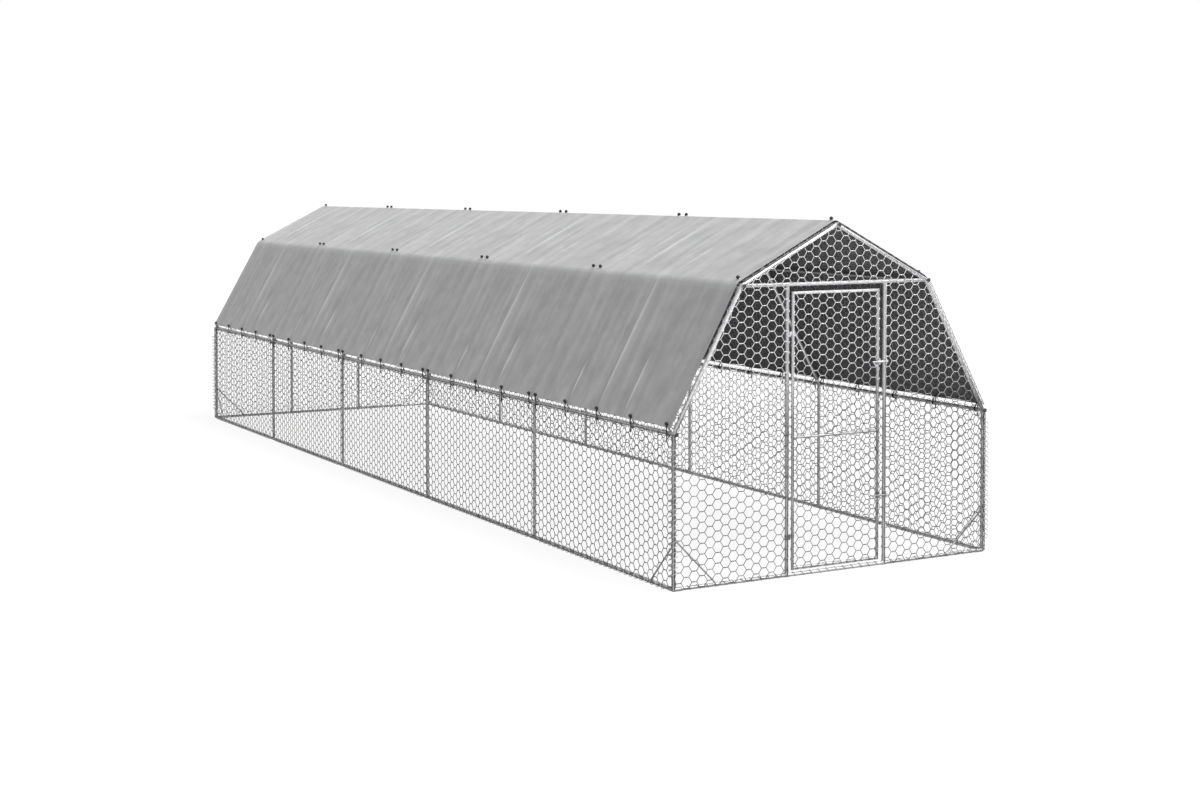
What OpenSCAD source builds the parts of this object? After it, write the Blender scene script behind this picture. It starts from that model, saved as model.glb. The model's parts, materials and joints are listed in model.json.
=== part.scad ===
// Walk-in chicken run with a gambrel roof: tube frame, hexagonal netting, five roof covers and a hinged door.
// Millimetres, +Z up, origin on the ground in the middle of the run. The door end faces -Y.

/* [Run] */
// distance from one arch to the next
bay_length = 2000; // [1600:50:2400]
// width between the axes of the two rows of posts
run_width = 2640; // [2300:20:3000]
// height of the bend between a post and its lower rafter
eave_height = 1040; // [900:10:1200]
// height of the knee rails' axes
knee_height = 2000; // [1900:10:2200]
// how far the knee lies inside the post
knee_inset = 534; // [450:2:620]
// height of the ridge rails' axes
ridge_height = 2402; // [2300:2:2600]

/* [Tubes and sockets] */
// outside diameter of the frame tube
tube_d = 25; // [22:0.5:28]
// wall of the frame tube
tube_wall = 1; // [0.8:0.1:2]
// gap between a tube and its socket, on the radius
socket_fit = 0.3; // [0.2:0.05:0.4]
// wall of a socket
socket_wall = 1.4; // [1.2:0.1:2]
// how far a tube goes into a socket
socket_grip = 40; // [30:1:60]
// distance from a joint's centre to the bottom of a socket
socket_stop = 20; // [18:1:26]
// how much the ball at a joint's centre stands over the sockets
hub_rise = 0.4; // [0.3:0.1:0.6]
// gap between a tube's end and the bottom of its socket
end_gap = 0.5; // [0.3:0.1:1]
// radius of the eave elbow's bend
elbow_radius = 150; // [120:5:200]
// step from the elbow's bend up to its sockets
elbow_step = 0.3; // [0.2:0.05:0.5]
// length of the short socket at each end of a row
stub_length = 30; // [28:1:40]
// thickness of a plug's head
plug_head = 4; // [3:0.5:8]

/* [Braces] */
// leg of an end wall's corner brace
brace_leg = 338; // [250:1:420]
// diameter of a brace rod
brace_d = 12; // [8:0.5:14]
// width of a brace's collar
collar_width = 22; // [20:1:30]
// gap between an end brace's rod and the side brace's collar below it
collar_gap = 4; // [2:0.5:8]

/* [Netting] */
// across the flats of a mesh, drawn coarser than the real one
net_cell = 260; // [220:5:320]
// width of a wire in the drawn mesh
net_wire = 6; // [4:0.5:10]
// thickness of a net
net_t = 4; // [3:0.5:6]
// width of a net's selvedge
net_edge = 9; // [7:0.5:14]
// gap between a net and the joints it lies on
net_seat = 0.3; // [0.2:0.05:0.5]
// distance from a rail's axis to a net's selvedge
net_setback = 34; // [32:1:40]
// how far a net laps past the last arch
net_lap = 12; // [8:1:14]
// room left around a door jamb for its fittings
jamb_room = 24; // [20:1:30]
// gap around a stub that comes through a net
stub_room = 1.2; // [1:0.1:2]

/* [Roof covers] */
// thickness of a cover
cover_t = 1.5; // [1:0.1:3]
// gap under a cover
cover_seat = 0.5; // [0.3:0.1:0.8]
// distance from an arch back to the front edge of its cover
cover_shift = 12; // [6:1:20]
// gap between two covers
cover_gap = 8; // [4:1:12]
// distance from the eave bend up to a cover's lower edge
hem_rise = 32; // [26:1:34]
// facets in the bend of a cover over a rail
bend_steps = 5; // [3:1:10]

/* [Ties] */
// radius of a tie's ball
ball_r = 12.5; // [10:0.5:15]
// radius of a tie's cord
cord_r = 2; // [1.5:0.1:2.5]
// gap between a cord and the socket it loops round
cord_gap = 0.4; // [0.3:0.1:0.8]
// radius of a tie's doubled cord at the neck
neck_r = 2.6; // [2.2:0.1:3]
// gap between a neck and its eyelet
eyelet_gap = 0.8; // [0.5:0.1:1.2]
// distance from a cover's side edge to its ties
tie_inset = 50; // [46:1:56]
// distance from the eave bend up to a hem tie's ball
hem_ball_rise = 52; // [48:1:60]
// ties along each hem of a cover
hem_ties = 5; // [3:1:7]
// lean of a knee tie up the slope
tie_lean = 20; // [0:1:25]
// where a hem tie's neck leaves its loop
neck_turn = 82; // [68:1:85]
// gap between a ball and the cover
ball_seat = 0.3; // [0.2:0.05:0.5]

/* [Door] */
// distance from the middle of the end to a jamb's axis
jamb_x = 416; // [380:2:460]
// distance between the axes of the hinge jamb and the hinge stile
hinge_spread = 48; // [46:1:56]
// distance between the axes of the latch jamb and the latch stile
latch_spread = 59; // [54:1:70]
// diameter of the door's tube
door_d = 20; // [18:0.5:22]
// height of the door's lower end
door_low = 48; // [40:1:70]
// height of the door's upper end
door_high = 1950; // [1840:2:1955]
// height of the door's middle rail
door_mid = 953; // [850:5:1050]
// gap at a welded joint
weld_gap = 0.2; // [0.1:0.05:0.3]
// thickness of a stile cap's head
cap_head = 3; // [2:0.5:5]
// length of a stile cap's shank
cap_shank = 8; // [6:1:12]
// distance from a stile's axis to the door's net
door_net_inset = 16; // [15:0.5:22]
// how far the door's net stops short of the stiles' ends
door_net_short = 2; // [1:0.5:4]

/* [Hinges] */
// height of the lower hinge
hinge_low = 272; // [200:2:400]
// height of the upper hinge
hinge_high = 1660; // [1500:2:1750]
// wall of a clamp round a tube
clamp_wall = 2.5; // [2:0.1:3]
// gap between a clamp and its tube
clamp_fit = 0.3; // [0.2:0.05:0.4]
// height of a hinge clamp on the jamb
pintle_height = 34; // [30:1:44]
// radius of a hinge pin
pin_r = 4; // [3:0.1:4.5]
// height of a pintle's arm
arm_height = 12; // [10:1:16]
// thickness of an arm
arm_t = 8; // [6:0.5:10]
// wall of a hinge eye
eye_wall = 3; // [2:0.1:3.2]
// running clearance of an eye on its pin
eye_fit = 0.06; // [0.03:0.01:0.1]
// height of a hinge eye
eye_height = 22; // [18:1:24]

/* [Latches] */
// height of the lower latch
latch_low = 500; // [420:5:600]
// height of the upper latch
latch_high = 1440; // [1350:5:1500]
// distance of a bolt's axis in front of the door
bolt_stand = 26; // [24:0.5:32]
// radius of a bolt
bolt_r = 5; // [4:0.1:5.5]
// travel of a bolt
bolt_throw = 30; // [26:1:34]
// running clearance of a bolt in its guide
guide_fit = 0.06; // [0.03:0.01:0.1]
// wall of a guide
guide_wall = 3; // [2:0.1:3.5]
// length of a guide
guide_length = 44; // [36:1:50]
// height of a latch clamp
latch_height = 44; // [36:1:50]
// thickness of a latch's web
web_t = 8; // [6:0.5:10]
// gap round a bolt in its keeper
keeper_fit = 0.6; // [0.4:0.05:1]
// length of a keeper
keeper_length = 16; // [12:1:20]
// gap between a drawn bolt and its keeper
bolt_free = 2; // [1.5:0.1:3]
// radius of a bolt's handle
handle_r = 4; // [3:0.1:4.5]
// length of a bolt's handle
handle_length = 40; // [30:1:50]
// radius of the knob on the handle
knob_r = 7; // [5:0.5:9]
// how far the handle leans out from the upright
handle_lean = 50; // [30:1:70]
// gap between the handle and its guide when the bolt is shot
handle_free = 3; // [2:0.1:5]

/* [Hidden] */
$fn = 48;
over = 2;
bay_count = 5;
half_w = run_width / 2;
half_l = bay_count * bay_length / 2;
tube_r = tube_d / 2;
bore_r = tube_r + socket_fit;
sleeve_r = bore_r + socket_wall;
hub_r = sleeve_r + hub_rise;
sill_z = hub_r;
socket_length = socket_stop + socket_grip;
knee_x = half_w - knee_inset;
// slopes, from the horizontal
low_slope = atan2(knee_height - eave_height, knee_inset);
top_slope = atan2(ridge_height - knee_height, knee_x);
low_len = norm([knee_inset, knee_height - eave_height]);
top_len = norm([knee_x, ridge_height - knee_height]);
// joints of the +X half of an arch, in X and Z
eave_pt = [half_w, eave_height];
knee_pt = [knee_x, knee_height];
ridge_pt = [0, ridge_height];
// along each slope, and out of it
low_dir = [-cos(low_slope), sin(low_slope)];
low_out = [sin(low_slope), cos(low_slope)];
top_dir = [-cos(top_slope), sin(top_slope)];
top_out = [sin(top_slope), cos(top_slope)];
// eave elbow: its turn, the length from its corner to each socket, its centre and the rail's place on it
turn = 90 - low_slope;
elbow_leg = elbow_radius * tan(turn / 2);
elbow_pt = eave_pt - [elbow_radius, elbow_leg];
rail_pt = elbow_pt + elbow_radius * [cos(turn / 2), sin(turn / 2)];
// the end tie's socket starts where it clears the upper rafter
tie_stop = (tube_r + sleeve_r + stub_room) / sin(top_slope);
net_off = hub_r + net_seat;
loop_r = sleeve_r + cord_gap + cord_r;
cover_in = max(net_off + net_t, loop_r + cord_r) + cover_seat;
cover_out = cover_in + cover_t;
eyelet_r = neck_r + eyelet_gap;
side_leg = brace_leg - collar_width / 2 - sleeve_r - (brace_d / 2 + collar_gap) * sqrt(2);
door_r = door_d / 2;
hinge_x = -jamb_x + hinge_spread / 2;
stile_hinge_x = -jamb_x + hinge_spread;
stile_latch_x = jamb_x - latch_spread;
guide_x = stile_latch_x - guide_length / 2;
tip_x = jamb_x - keeper_length / 2 - bolt_free;
handle_x = guide_x - bolt_throw - handle_free - handle_r;

// Helpers

function arch_y(i) = -half_l + i * bay_length;
function cover_y(i) = arch_y(i) + cover_shift + cover_gap / 2;
function cover_len() = bay_length - cover_gap;
function hem_pitch() = (cover_len() - 2 * tie_inset) / (hem_ties - 1);
function hem_y(i, k) = cover_y(i) + tie_inset + k * hem_pitch();
function edge_y(i, k) = cover_y(i) + tie_inset + k * (cover_len() - 2 * tie_inset);
function lift(p) = [p.x, 0, p.y];

// turns +Z to a direction in the XZ plane, by its angle from +X
module ray(angle) rotate([0, 90 - angle, 0]) children();

// turns +Z to +Y
module along_y() rotate([-90, 0, 0]) children();

// +X side as drawn, -X side as its mirror image
module side(s) {
  if (s > 0) children();
  else mirror([1, 0, 0]) children();
}

module pipe(d, wall, l) difference() {
  cylinder(d = d, h = l);
  translate([0, 0, -over]) cylinder(d = d - 2 * wall, h = l + 2 * over);
}

// a frame tube from one point of the XZ plane towards an angle
module tube_ray(p, angle, from, to)
  translate(lift(p)) ray(angle) translate([0, 0, from]) pipe(tube_d, tube_wall, to - from);

// one tube in each bay, between the sockets of two arches
module bay_tubes(p) for (i = [0 : bay_count - 1])
  translate([p.x, arch_y(i) + socket_stop + end_gap, p.y])
    along_y() pipe(tube_d, tube_wall, bay_length - 2 * (socket_stop + end_gap));

module at_arches() for (i = [0 : bay_count]) translate([0, arch_y(i), 0]) children();

// how long the socket of arch i is towards the front and towards the back
function front_len(i) = i == 0 ? stub_length : socket_length;
function back_len(i) = i == bay_count ? stub_length : socket_length;

module y_sleeve(front, back) translate([0, -front, 0]) along_y() cylinder(r = sleeve_r, h = front + back);

module y_bores(front, back) {
  if (front > 0) mirror([0, 1, 0]) translate([0, socket_stop, 0]) along_y() cylinder(r = bore_r, h = front);
  if (back > 0) translate([0, socket_stop, 0]) along_y() cylinder(r = bore_r, h = back);
}

// joint of sockets: each arm is an angle in the XZ plane, where its bore starts, where it ends and how much slimmer it is
module joint(arms, front, back) difference() {
  union() {
    sphere(r = hub_r);
    for (a = arms) ray(a[0]) cylinder(r = sleeve_r - a[3], h = a[2]);
    y_sleeve(front, back);
  }
  for (a = arms) ray(a[0]) translate([0, 0, a[1]]) cylinder(r = bore_r, h = a[2]);
  y_bores(front, back);
}

function arm(angle) = [angle, socket_stop, socket_length, 0];

// Frame tubes

module end_sills() color("Silver") for (y = [-half_l, half_l])
  translate([-half_w + socket_stop + end_gap, y, sill_z])
    rotate([0, 90, 0]) pipe(tube_d, tube_wall, run_width - 2 * (socket_stop + end_gap));

module sills(s) color("Silver") side(s) bay_tubes([half_w, sill_z]);

module posts(s) color("Silver") side(s) at_arches()
  tube_ray([half_w, sill_z], 90, socket_stop + end_gap, eave_height - sill_z - elbow_leg - end_gap);

module eave_rails(s) color("Silver") side(s) bay_tubes(rail_pt);

module low_rafters(s) color("Silver") side(s) at_arches()
  tube_ray(eave_pt, 180 - low_slope, elbow_leg + end_gap, low_len - socket_stop - end_gap);

module knee_rails(s) color("Silver") side(s) bay_tubes(knee_pt);

module top_rafters(s) color("Silver") side(s) at_arches()
  tube_ray(knee_pt, 180 - top_slope, socket_stop + end_gap, top_len - socket_stop - end_gap);

module ridge_rails() color("Silver") bay_tubes(ridge_pt);

module end_ties() color("Silver") for (y = [-half_l, half_l])
  translate([-knee_x + tie_stop + end_gap, y, knee_height])
    rotate([0, 90, 0]) pipe(tube_d, tube_wall, 2 * (knee_x - tie_stop - end_gap));

module jamb(x, y) color("Silver") translate([0, y, 0])
  tube_ray([x, sill_z], 90, socket_stop + end_gap, knee_height - sill_z - socket_stop - end_gap);

module back_posts() for (x = [-jamb_x, jamb_x]) jamb(x, half_l);

// Joints

module base_corners() color("Gainsboro") for (s = [-1, 1], e = [-1, 1]) side(s)
  translate([half_w, e * half_l, sill_z])
    joint([arm(90), arm(180)], e > 0 ? socket_length : 0, e > 0 ? 0 : socket_length);

module base_tees() color("Gainsboro") for (s = [-1, 1], i = [1 : bay_count - 1]) side(s)
  translate([half_w, arch_y(i), sill_z]) joint([arm(90)], socket_length, socket_length);

// bent joint at the eave: a post below, a rafter above and the rails on its bend
module eave_elbow(front, back) difference() {
  union() {
    translate(lift(elbow_pt)) rotate([90, 0, 0]) rotate_extrude(angle = turn)
      translate([elbow_radius, 0]) circle(r = sleeve_r - elbow_step);
    translate(lift(eave_pt)) {
      ray(-90) translate([0, 0, elbow_leg - over]) cylinder(r = sleeve_r, h = socket_grip + over);
      ray(180 - low_slope) translate([0, 0, elbow_leg - over]) cylinder(r = sleeve_r, h = socket_grip + over);
    }
    translate(lift(rail_pt)) y_sleeve(front, back);
  }
  translate(lift(eave_pt)) {
    ray(-90) translate([0, 0, elbow_leg]) cylinder(r = bore_r, h = socket_length);
    ray(180 - low_slope) translate([0, 0, elbow_leg]) cylinder(r = bore_r, h = socket_length);
  }
  translate(lift(rail_pt)) y_bores(front, back);
}

module eave_elbows() color("Gainsboro") for (s = [-1, 1], i = [0 : bay_count]) side(s)
  translate([0, arch_y(i), 0]) eave_elbow(front_len(i), back_len(i));

function knee_arms() = [arm(-low_slope), arm(180 - top_slope)];

module knee_joints() color("Gainsboro") for (s = [-1, 1], i = [1 : bay_count - 1]) side(s)
  translate([knee_x, arch_y(i), knee_height]) joint(knee_arms(), socket_length, socket_length);

module end_knee_joints() color("Gainsboro") for (s = [-1, 1], i = [0, bay_count]) side(s)
  translate([knee_x, arch_y(i), knee_height])
    joint(concat(knee_arms(), [[180, tie_stop, tie_stop + socket_grip, elbow_step]]), front_len(i), back_len(i));

module ridge_joints() color("Gainsboro") for (i = [0 : bay_count])
  translate([0, arch_y(i), ridge_height])
    joint([arm(-top_slope), arm(180 + top_slope)], front_len(i), back_len(i));

// sleeve on an end sill or tie, with a socket for an upright
module jamb_tee(angle) difference() {
  union() {
    sphere(r = hub_r);
    translate([-socket_grip / 2, 0, 0]) rotate([0, 90, 0]) cylinder(r = sleeve_r, h = socket_grip);
    ray(angle) cylinder(r = sleeve_r, h = socket_length);
  }
  translate([-socket_grip, 0, 0]) rotate([0, 90, 0]) cylinder(r = bore_r, h = 2 * socket_grip);
  ray(angle) translate([0, 0, socket_stop]) cylinder(r = bore_r, h = socket_length);
}

module jamb_tees() color("Gainsboro") for (x = [-jamb_x, jamb_x], y = [-half_l, half_l]) {
  translate([x, y, sill_z]) jamb_tee(90);
  translate([x, y, knee_height]) jamb_tee(-90);
}

// plug in the open socket at the end of a row
module plug() along_y() {
  cylinder(r = sleeve_r, h = plug_head);
  translate([0, 0, -(stub_length - socket_stop - end_gap)])
    cylinder(r = tube_r, h = stub_length - socket_stop);
}

module end_plugs() color("DimGray") for (e = [-1, 1]) mirror([0, e > 0 ? 0 : 1, 0])
  translate([0, half_l + stub_length, 0]) {
    translate(lift(ridge_pt)) plug();
    for (s = [-1, 1]) side(s) {
      translate(lift(knee_pt)) plug();
      translate(lift(rail_pt)) plug();
    }
  }

// corner brace in the XZ plane, from a collar on the post to a collar on the sill
module brace(leg) difference() {
  union() {
    translate([0, 0, leg - collar_width / 2]) cylinder(r = sleeve_r, h = collar_width);
    translate([-leg - collar_width / 2, 0, 0]) rotate([0, 90, 0]) cylinder(r = sleeve_r, h = collar_width);
    translate([0, 0, leg]) ray(-135) cylinder(d = brace_d, h = leg * sqrt(2));
  }
  translate([0, 0, leg - 2 * collar_width]) cylinder(r = bore_r, h = 4 * collar_width);
  translate([-leg - 2 * collar_width, 0, 0]) rotate([0, 90, 0]) cylinder(r = bore_r, h = 4 * collar_width);
}

module braces_end() color("Silver") for (s = [-1, 1], y = [-half_l, half_l]) side(s)
  translate([half_w, y, sill_z]) brace(brace_leg);

module braces_side() color("Silver") for (s = [-1, 1], e = [-1, 1]) side(s)
  translate([half_w, e * half_l, sill_z]) rotate([0, 0, e > 0 ? 90 : -90]) brace(side_leg);

// Netting

// the line of edge i of an outline, moved in by d: its inward normal and its distance
function edge_line(p, i, d) = let (
  a = p[i],
  b = p[(i + 1) % len(p)],
  n = [a.y - b.y, b.x - a.x] / norm(b - a)
) [n, n * a + d];

function meet(k, m) = let (det = k[0].x * m[0].y - k[0].y * m[0].x)
  [k[1] * m[0].y - m[1] * k[0].y, k[0].x * m[1] - m[0].x * k[1]] / det;

// a convex outline, anticlockwise, moved in by d
function inset(p, d) = [for (i = [0 : len(p) - 1])
  meet(edge_line(p, (i + len(p) - 1) % len(p), d), edge_line(p, i, d))];

function low_of(p, k) = min([for (q = p) q[k]]);
function high_of(p, k) = max([for (q = p) q[k]]);

// columns of flat-topped hexagons over an outline's box, every second column half a mesh higher
module meshes(p) {
  pitch = net_cell * sqrt(3) / 2;
  columns = ceil((high_of(p, 0) - low_of(p, 0)) / pitch);
  rows = ceil((high_of(p, 1) - low_of(p, 1)) / net_cell);
  for (i = [0 : columns], j = [0 : rows])
    translate([low_of(p, 0) + i * pitch, low_of(p, 1) + (j + (i % 2) / 2) * net_cell])
      circle(r = (net_cell - net_wire) / sqrt(3), $fn = 6);
}

// a net over a convex outline, thickness up
module net(p) linear_extrude(net_t) difference() {
  polygon(p);
  intersection() {
    polygon(inset(p, net_edge));
    meshes(p);
  }
}

// stands a net drawn in X and Y upright at depth y, with its thickness towards -Y
module upright(y) translate([0, y, 0]) rotate([90, 0, 0]) children();

function box_outline(x0, y0, x1, y1) = [[x0, y0], [x1, y0], [x1, y1], [x0, y1]];

// a net on a long wall of the +X side: X runs along the wall, Y up it from the point p
module wall_net(p, angle, from, to, back) translate(lift(p)) rotate([0, 90 - angle, 0]) rotate([90, 0, 90])
  translate([0, 0, net_off]) net(box_outline(-half_l - net_lap, from, half_l + back, to));

module side_net(s) color("LightSteelBlue") side(s)
  wall_net([half_w, 0], 90, sill_z, eave_height - net_setback, net_lap);

module low_net(s) color("LightSteelBlue") side(s)
  wall_net(eave_pt, 180 - low_slope, net_setback, low_len - net_setback, cover_shift - cover_gap / 2);

module top_net(s) color("LightSteelBlue") side(s)
  wall_net(knee_pt, 180 - top_slope, net_setback, top_len - net_setback, cover_shift - cover_gap / 2);

module stub_holes(points) for (p = points) translate(lift(p))
  rotate([90, 0, 0]) translate([0, 0, -half_l]) cylinder(r = sleeve_r + stub_room, h = 2 * half_l);

function front_outline() = [[jamb_x + jamb_room, sill_z], [half_w, sill_z], eave_pt, knee_pt,
  [jamb_x + jamb_room, knee_height]];

module front_net(s) color("LightSteelBlue") side(s) difference() {
  upright(-half_l - net_off) net(front_outline());
  translate([0, -half_l, 0]) stub_holes([rail_pt, knee_pt]);
}

module gable_net() color("LightSteelBlue") difference() {
  upright(-half_l - net_off)
    net([[-knee_x, knee_height + weld_gap], [knee_x, knee_height + weld_gap], ridge_pt]);
  translate([0, -half_l, 0]) stub_holes([ridge_pt, knee_pt, [-knee_x, knee_height]]);
}

module back_net() color("LightSteelBlue") difference() {
  upright(half_l + net_off + net_t)
    net([[-half_w, sill_z], [half_w, sill_z], eave_pt, knee_pt, ridge_pt, [-knee_x, knee_height],
      [-half_w, eave_height]]);
  translate([0, half_l, 0])
    stub_holes([ridge_pt, knee_pt, [-knee_x, knee_height], rail_pt, [-rail_pt.x, rail_pt.y]]);
}

// Roof covers

function bend(c, r, from, to) = [for (k = [0 : bend_steps])
  let (a = from + (to - from) * k / bend_steps) c + r * [cos(a), sin(a)]];

// the +X half of a cover's section at one distance from the tubes' axes, from the hem to the ridge
function cover_line(r) = concat(
  [eave_pt + hem_rise * low_dir + r * low_out],
  bend(knee_pt, r, 90 - low_slope, 90 - top_slope),
  bend(ridge_pt, r, 90 - top_slope, 90));

function flipped(p) = [for (q = p) [-q.x, q.y]];
function reversed(p) = [for (i = [len(p) - 1 : -1 : 0]) p[i]];
function but_last(p) = [for (i = [0 : len(p) - 2]) p[i]];

function cover_section() = concat(
  cover_line(cover_out), reversed(but_last(flipped(cover_line(cover_out)))),
  flipped(cover_line(cover_in)), reversed(but_last(cover_line(cover_in))));

module eyelet(p, angle) translate(lift(p)) ray(angle) cylinder(r = eyelet_r, h = cover_out + ball_r);

module cover(i) color("SlateGray") difference() {
  translate([0, cover_y(i) + cover_len(), 0]) rotate([90, 0, 0])
    linear_extrude(cover_len()) polygon(cover_section());
  for (s = [-1, 1]) side(s) {
    for (k = [0 : hem_ties - 1]) translate([0, hem_y(i, k), 0])
      eyelet(eave_pt + hem_ball_rise * low_dir, 90 - low_slope);
    for (k = [0, 1]) translate([0, edge_y(i, k), 0]) eyelet(knee_pt, 90 - top_slope + tie_lean);
  }
  for (k = [0, 1]) translate([0, edge_y(i, k), 0]) eyelet(ridge_pt, 90);
}

// Ties

module loop(p) translate(lift(p)) rotate([90, 0, 0]) rotate_extrude() translate([loop_r, 0]) circle(r = cord_r);

module neck(p, q) translate(lift(p)) ray(atan2(q.y - p.y, q.x - p.x)) cylinder(r = neck_r, h = norm(q - p));

// ties a hem to the eave rail: the neck passes over the hem, and a short stem goes into the eyelet
module hem_tie() {
  seat = eave_pt + hem_ball_rise * low_dir;
  ball = seat + (cover_out + ball_seat + ball_r) * low_out;
  loop(rail_pt);
  neck(rail_pt + loop_r * (cos(neck_turn) * low_dir + sin(neck_turn) * low_out), ball);
  neck(seat + cover_in * low_out, ball);
  translate(lift(ball)) sphere(r = ball_r);
}

// ties the middle of a cover to the rail below it, through an eyelet
module rail_tie(p, angle, lean) {
  out = [cos(angle), sin(angle)];
  ball = p + (cover_out + ball_seat + ball_r) / cos(lean) * out;
  loop(p);
  neck(p + loop_r * out, ball);
  translate(lift(ball)) sphere(r = ball_r);
}

module hem_ties_of(s) color("Black") side(s)
  for (i = [0 : bay_count - 1], k = [0 : hem_ties - 1]) translate([0, hem_y(i, k), 0]) hem_tie();

module knee_ties() color("Black") for (s = [-1, 1], i = [0 : bay_count - 1], k = [0, 1]) side(s)
  translate([0, edge_y(i, k), 0]) rail_tie(knee_pt, 90 - top_slope + tie_lean, tie_lean);

module ridge_ties() color("Black") for (i = [0 : bay_count - 1], k = [0, 1])
  translate([0, edge_y(i, k), 0]) rail_tie(ridge_pt, 90, 0);

// Door, its hinges and latches

module stile(x) color("Silver") translate([x, -half_l, door_low]) pipe(door_d, tube_wall, door_high - door_low);

module door_rail(z) difference() {
  translate([stile_hinge_x, -half_l, z]) rotate([0, 90, 0])
    pipe(door_d, tube_wall, stile_latch_x - stile_hinge_x);
  for (x = [stile_hinge_x, stile_latch_x]) translate([x, -half_l, z - door_d])
    cylinder(r = door_r + weld_gap, h = 2 * door_d);
}

module door_rails() color("Silver") for (z = [door_low + door_r, door_mid, door_high - door_r]) door_rail(z);

module door_cap() {
  cylinder(r = door_r, h = cap_head);
  translate([0, 0, -cap_shank]) cylinder(r = door_r - tube_wall - weld_gap, h = cap_shank + cap_head / 2);
}

module door_caps() color("DimGray") for (x = [stile_hinge_x, stile_latch_x]) {
  translate([x, -half_l, door_high]) door_cap();
  translate([x, -half_l, door_low]) mirror([0, 0, 1]) door_cap();
}

module door_net() color("LightSteelBlue") upright(-half_l - door_r - net_seat)
  net(box_outline(stile_hinge_x + door_net_inset, door_low + door_net_short,
    stile_latch_x - door_net_inset, door_high - door_net_short));

module clamp_ring(r, h) cylinder(r = r + clamp_fit + clamp_wall, h = h);

module clamp_bore(r, h) translate([0, 0, -over]) cylinder(r = r + clamp_fit, h = h + 2 * over);

// clamp on the hinge jamb with an upright pin on its arm
module pintle() {
  difference() {
    union() {
      clamp_ring(tube_r, pintle_height);
      translate([0, -arm_t / 2, 0]) cube([hinge_spread / 2, arm_t, arm_height]);
      translate([hinge_spread / 2, 0, 0]) cylinder(r = pin_r + eye_wall, h = arm_height);
      translate([hinge_spread / 2, 0, 0]) cylinder(r = pin_r, h = arm_height + net_seat + eye_height + over);
    }
    clamp_bore(tube_r, pintle_height);
  }
}

module hinge_pintles() color("DarkGray") for (z = [hinge_low, hinge_high])
  translate([-jamb_x, -half_l, z - pintle_height / 2]) pintle();

// clamp on the hinge stile with an eye on the pin
module hinge_eye() difference() {
  union() {
    clamp_ring(door_r, eye_height);
    translate([-hinge_spread / 2, -arm_t / 2, 0]) cube([hinge_spread / 2, arm_t, eye_height]);
    translate([-hinge_spread / 2, 0, 0]) cylinder(r = pin_r + eye_wall, h = eye_height);
  }
  clamp_bore(door_r, eye_height);
  translate([-hinge_spread / 2, 0, -over]) cylinder(r = pin_r + eye_fit, h = eye_height + 2 * over);
}

module hinge_eyes() color("DarkGray") for (z = [hinge_low, hinge_high])
  translate([stile_hinge_x, -half_l, z - pintle_height / 2 + arm_height + net_seat]) hinge_eye();

// clamp on a tube, with a web out to a sleeve that lies along X in front of it
module bolt_clamp(r, bore, l) difference() {
  union() {
    translate([0, 0, -latch_height / 2]) clamp_ring(r, latch_height);
    translate([-web_t / 2, -bolt_stand, -latch_height / 2]) cube([web_t, bolt_stand, latch_height]);
    translate([-l / 2, -bolt_stand, 0]) rotate([0, 90, 0]) cylinder(r = bore + guide_wall, h = l);
  }
  translate([0, 0, -latch_height / 2]) clamp_bore(r, latch_height);
  translate([-l, -bolt_stand, 0]) rotate([0, 90, 0]) cylinder(r = bore, h = 2 * l);
}

module latch_guides() color("DarkGray") for (z = [latch_low, latch_high])
  translate([stile_latch_x, -half_l, z]) bolt_clamp(door_r, bolt_r + guide_fit, guide_length);

module keepers() color("DarkGray") for (z = [latch_low, latch_high])
  translate([jamb_x, -half_l, z]) bolt_clamp(tube_r, bolt_r + keeper_fit, keeper_length);

// round bolt with a knobbed handle, drawn clear of its keeper
module bolt(z) color("LightGray") translate([0, -half_l - bolt_stand, z]) {
  translate([handle_x - bolt_r, 0, 0]) rotate([0, 90, 0]) cylinder(r = bolt_r, h = tip_x - handle_x + bolt_r);
  translate([handle_x, 0, 0]) rotate([180 - handle_lean, 0, 0]) {
    cylinder(r = handle_r, h = handle_length);
    translate([0, 0, handle_length]) sphere(r = knob_r);
  }
}

// Nodes

end_sills();
sills(-1);  // sills_left
sills(1);  // sills_right
posts(-1);  // posts_left
posts(1);  // posts_right
eave_rails(-1);  // eave_rails_left
eave_rails(1);  // eave_rails_right
low_rafters(-1);  // low_rafters_left
low_rafters(1);  // low_rafters_right
knee_rails(-1);  // knee_rails_left
knee_rails(1);  // knee_rails_right
top_rafters(-1);  // top_rafters_left
top_rafters(1);  // top_rafters_right
ridge_rails();
end_ties();
jamb(-jamb_x, -half_l);  // hinge_jamb
jamb(jamb_x, -half_l);  // latch_jamb
back_posts();
base_corners();
base_tees();
eave_elbows();
knee_joints();
end_knee_joints();
ridge_joints();
jamb_tees();
end_plugs();
braces_side();
braces_end();
side_net(-1);  // side_net_left
side_net(1);  // side_net_right
low_net(-1);  // low_net_left
low_net(1);  // low_net_right
top_net(-1);  // top_net_left
top_net(1);  // top_net_right
front_net(-1);  // front_net_left
front_net(1);  // front_net_right
gable_net();
back_net();
cover(0);  // cover_1
cover(1);  // cover_2
cover(2);  // cover_3
cover(3);  // cover_4
cover(4);  // cover_5
hem_ties_of(-1);  // hem_ties_left
hem_ties_of(1);  // hem_ties_right
knee_ties();
ridge_ties();
hinge_pintles();
keepers();
stile(stile_hinge_x);  // hinge_stile
stile(stile_latch_x);  // latch_stile
door_rails();
door_caps();
door_net();
hinge_eyes();
latch_guides();
bolt(latch_low);  // bolt_lower
bolt(latch_high);  // bolt_upper
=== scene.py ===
"""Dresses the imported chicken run: fine netting, roof covers, ties, fixings, finishes, light and camera."""
import json
import logging
import math
from dataclasses import dataclass, field
from enum import Enum

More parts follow.
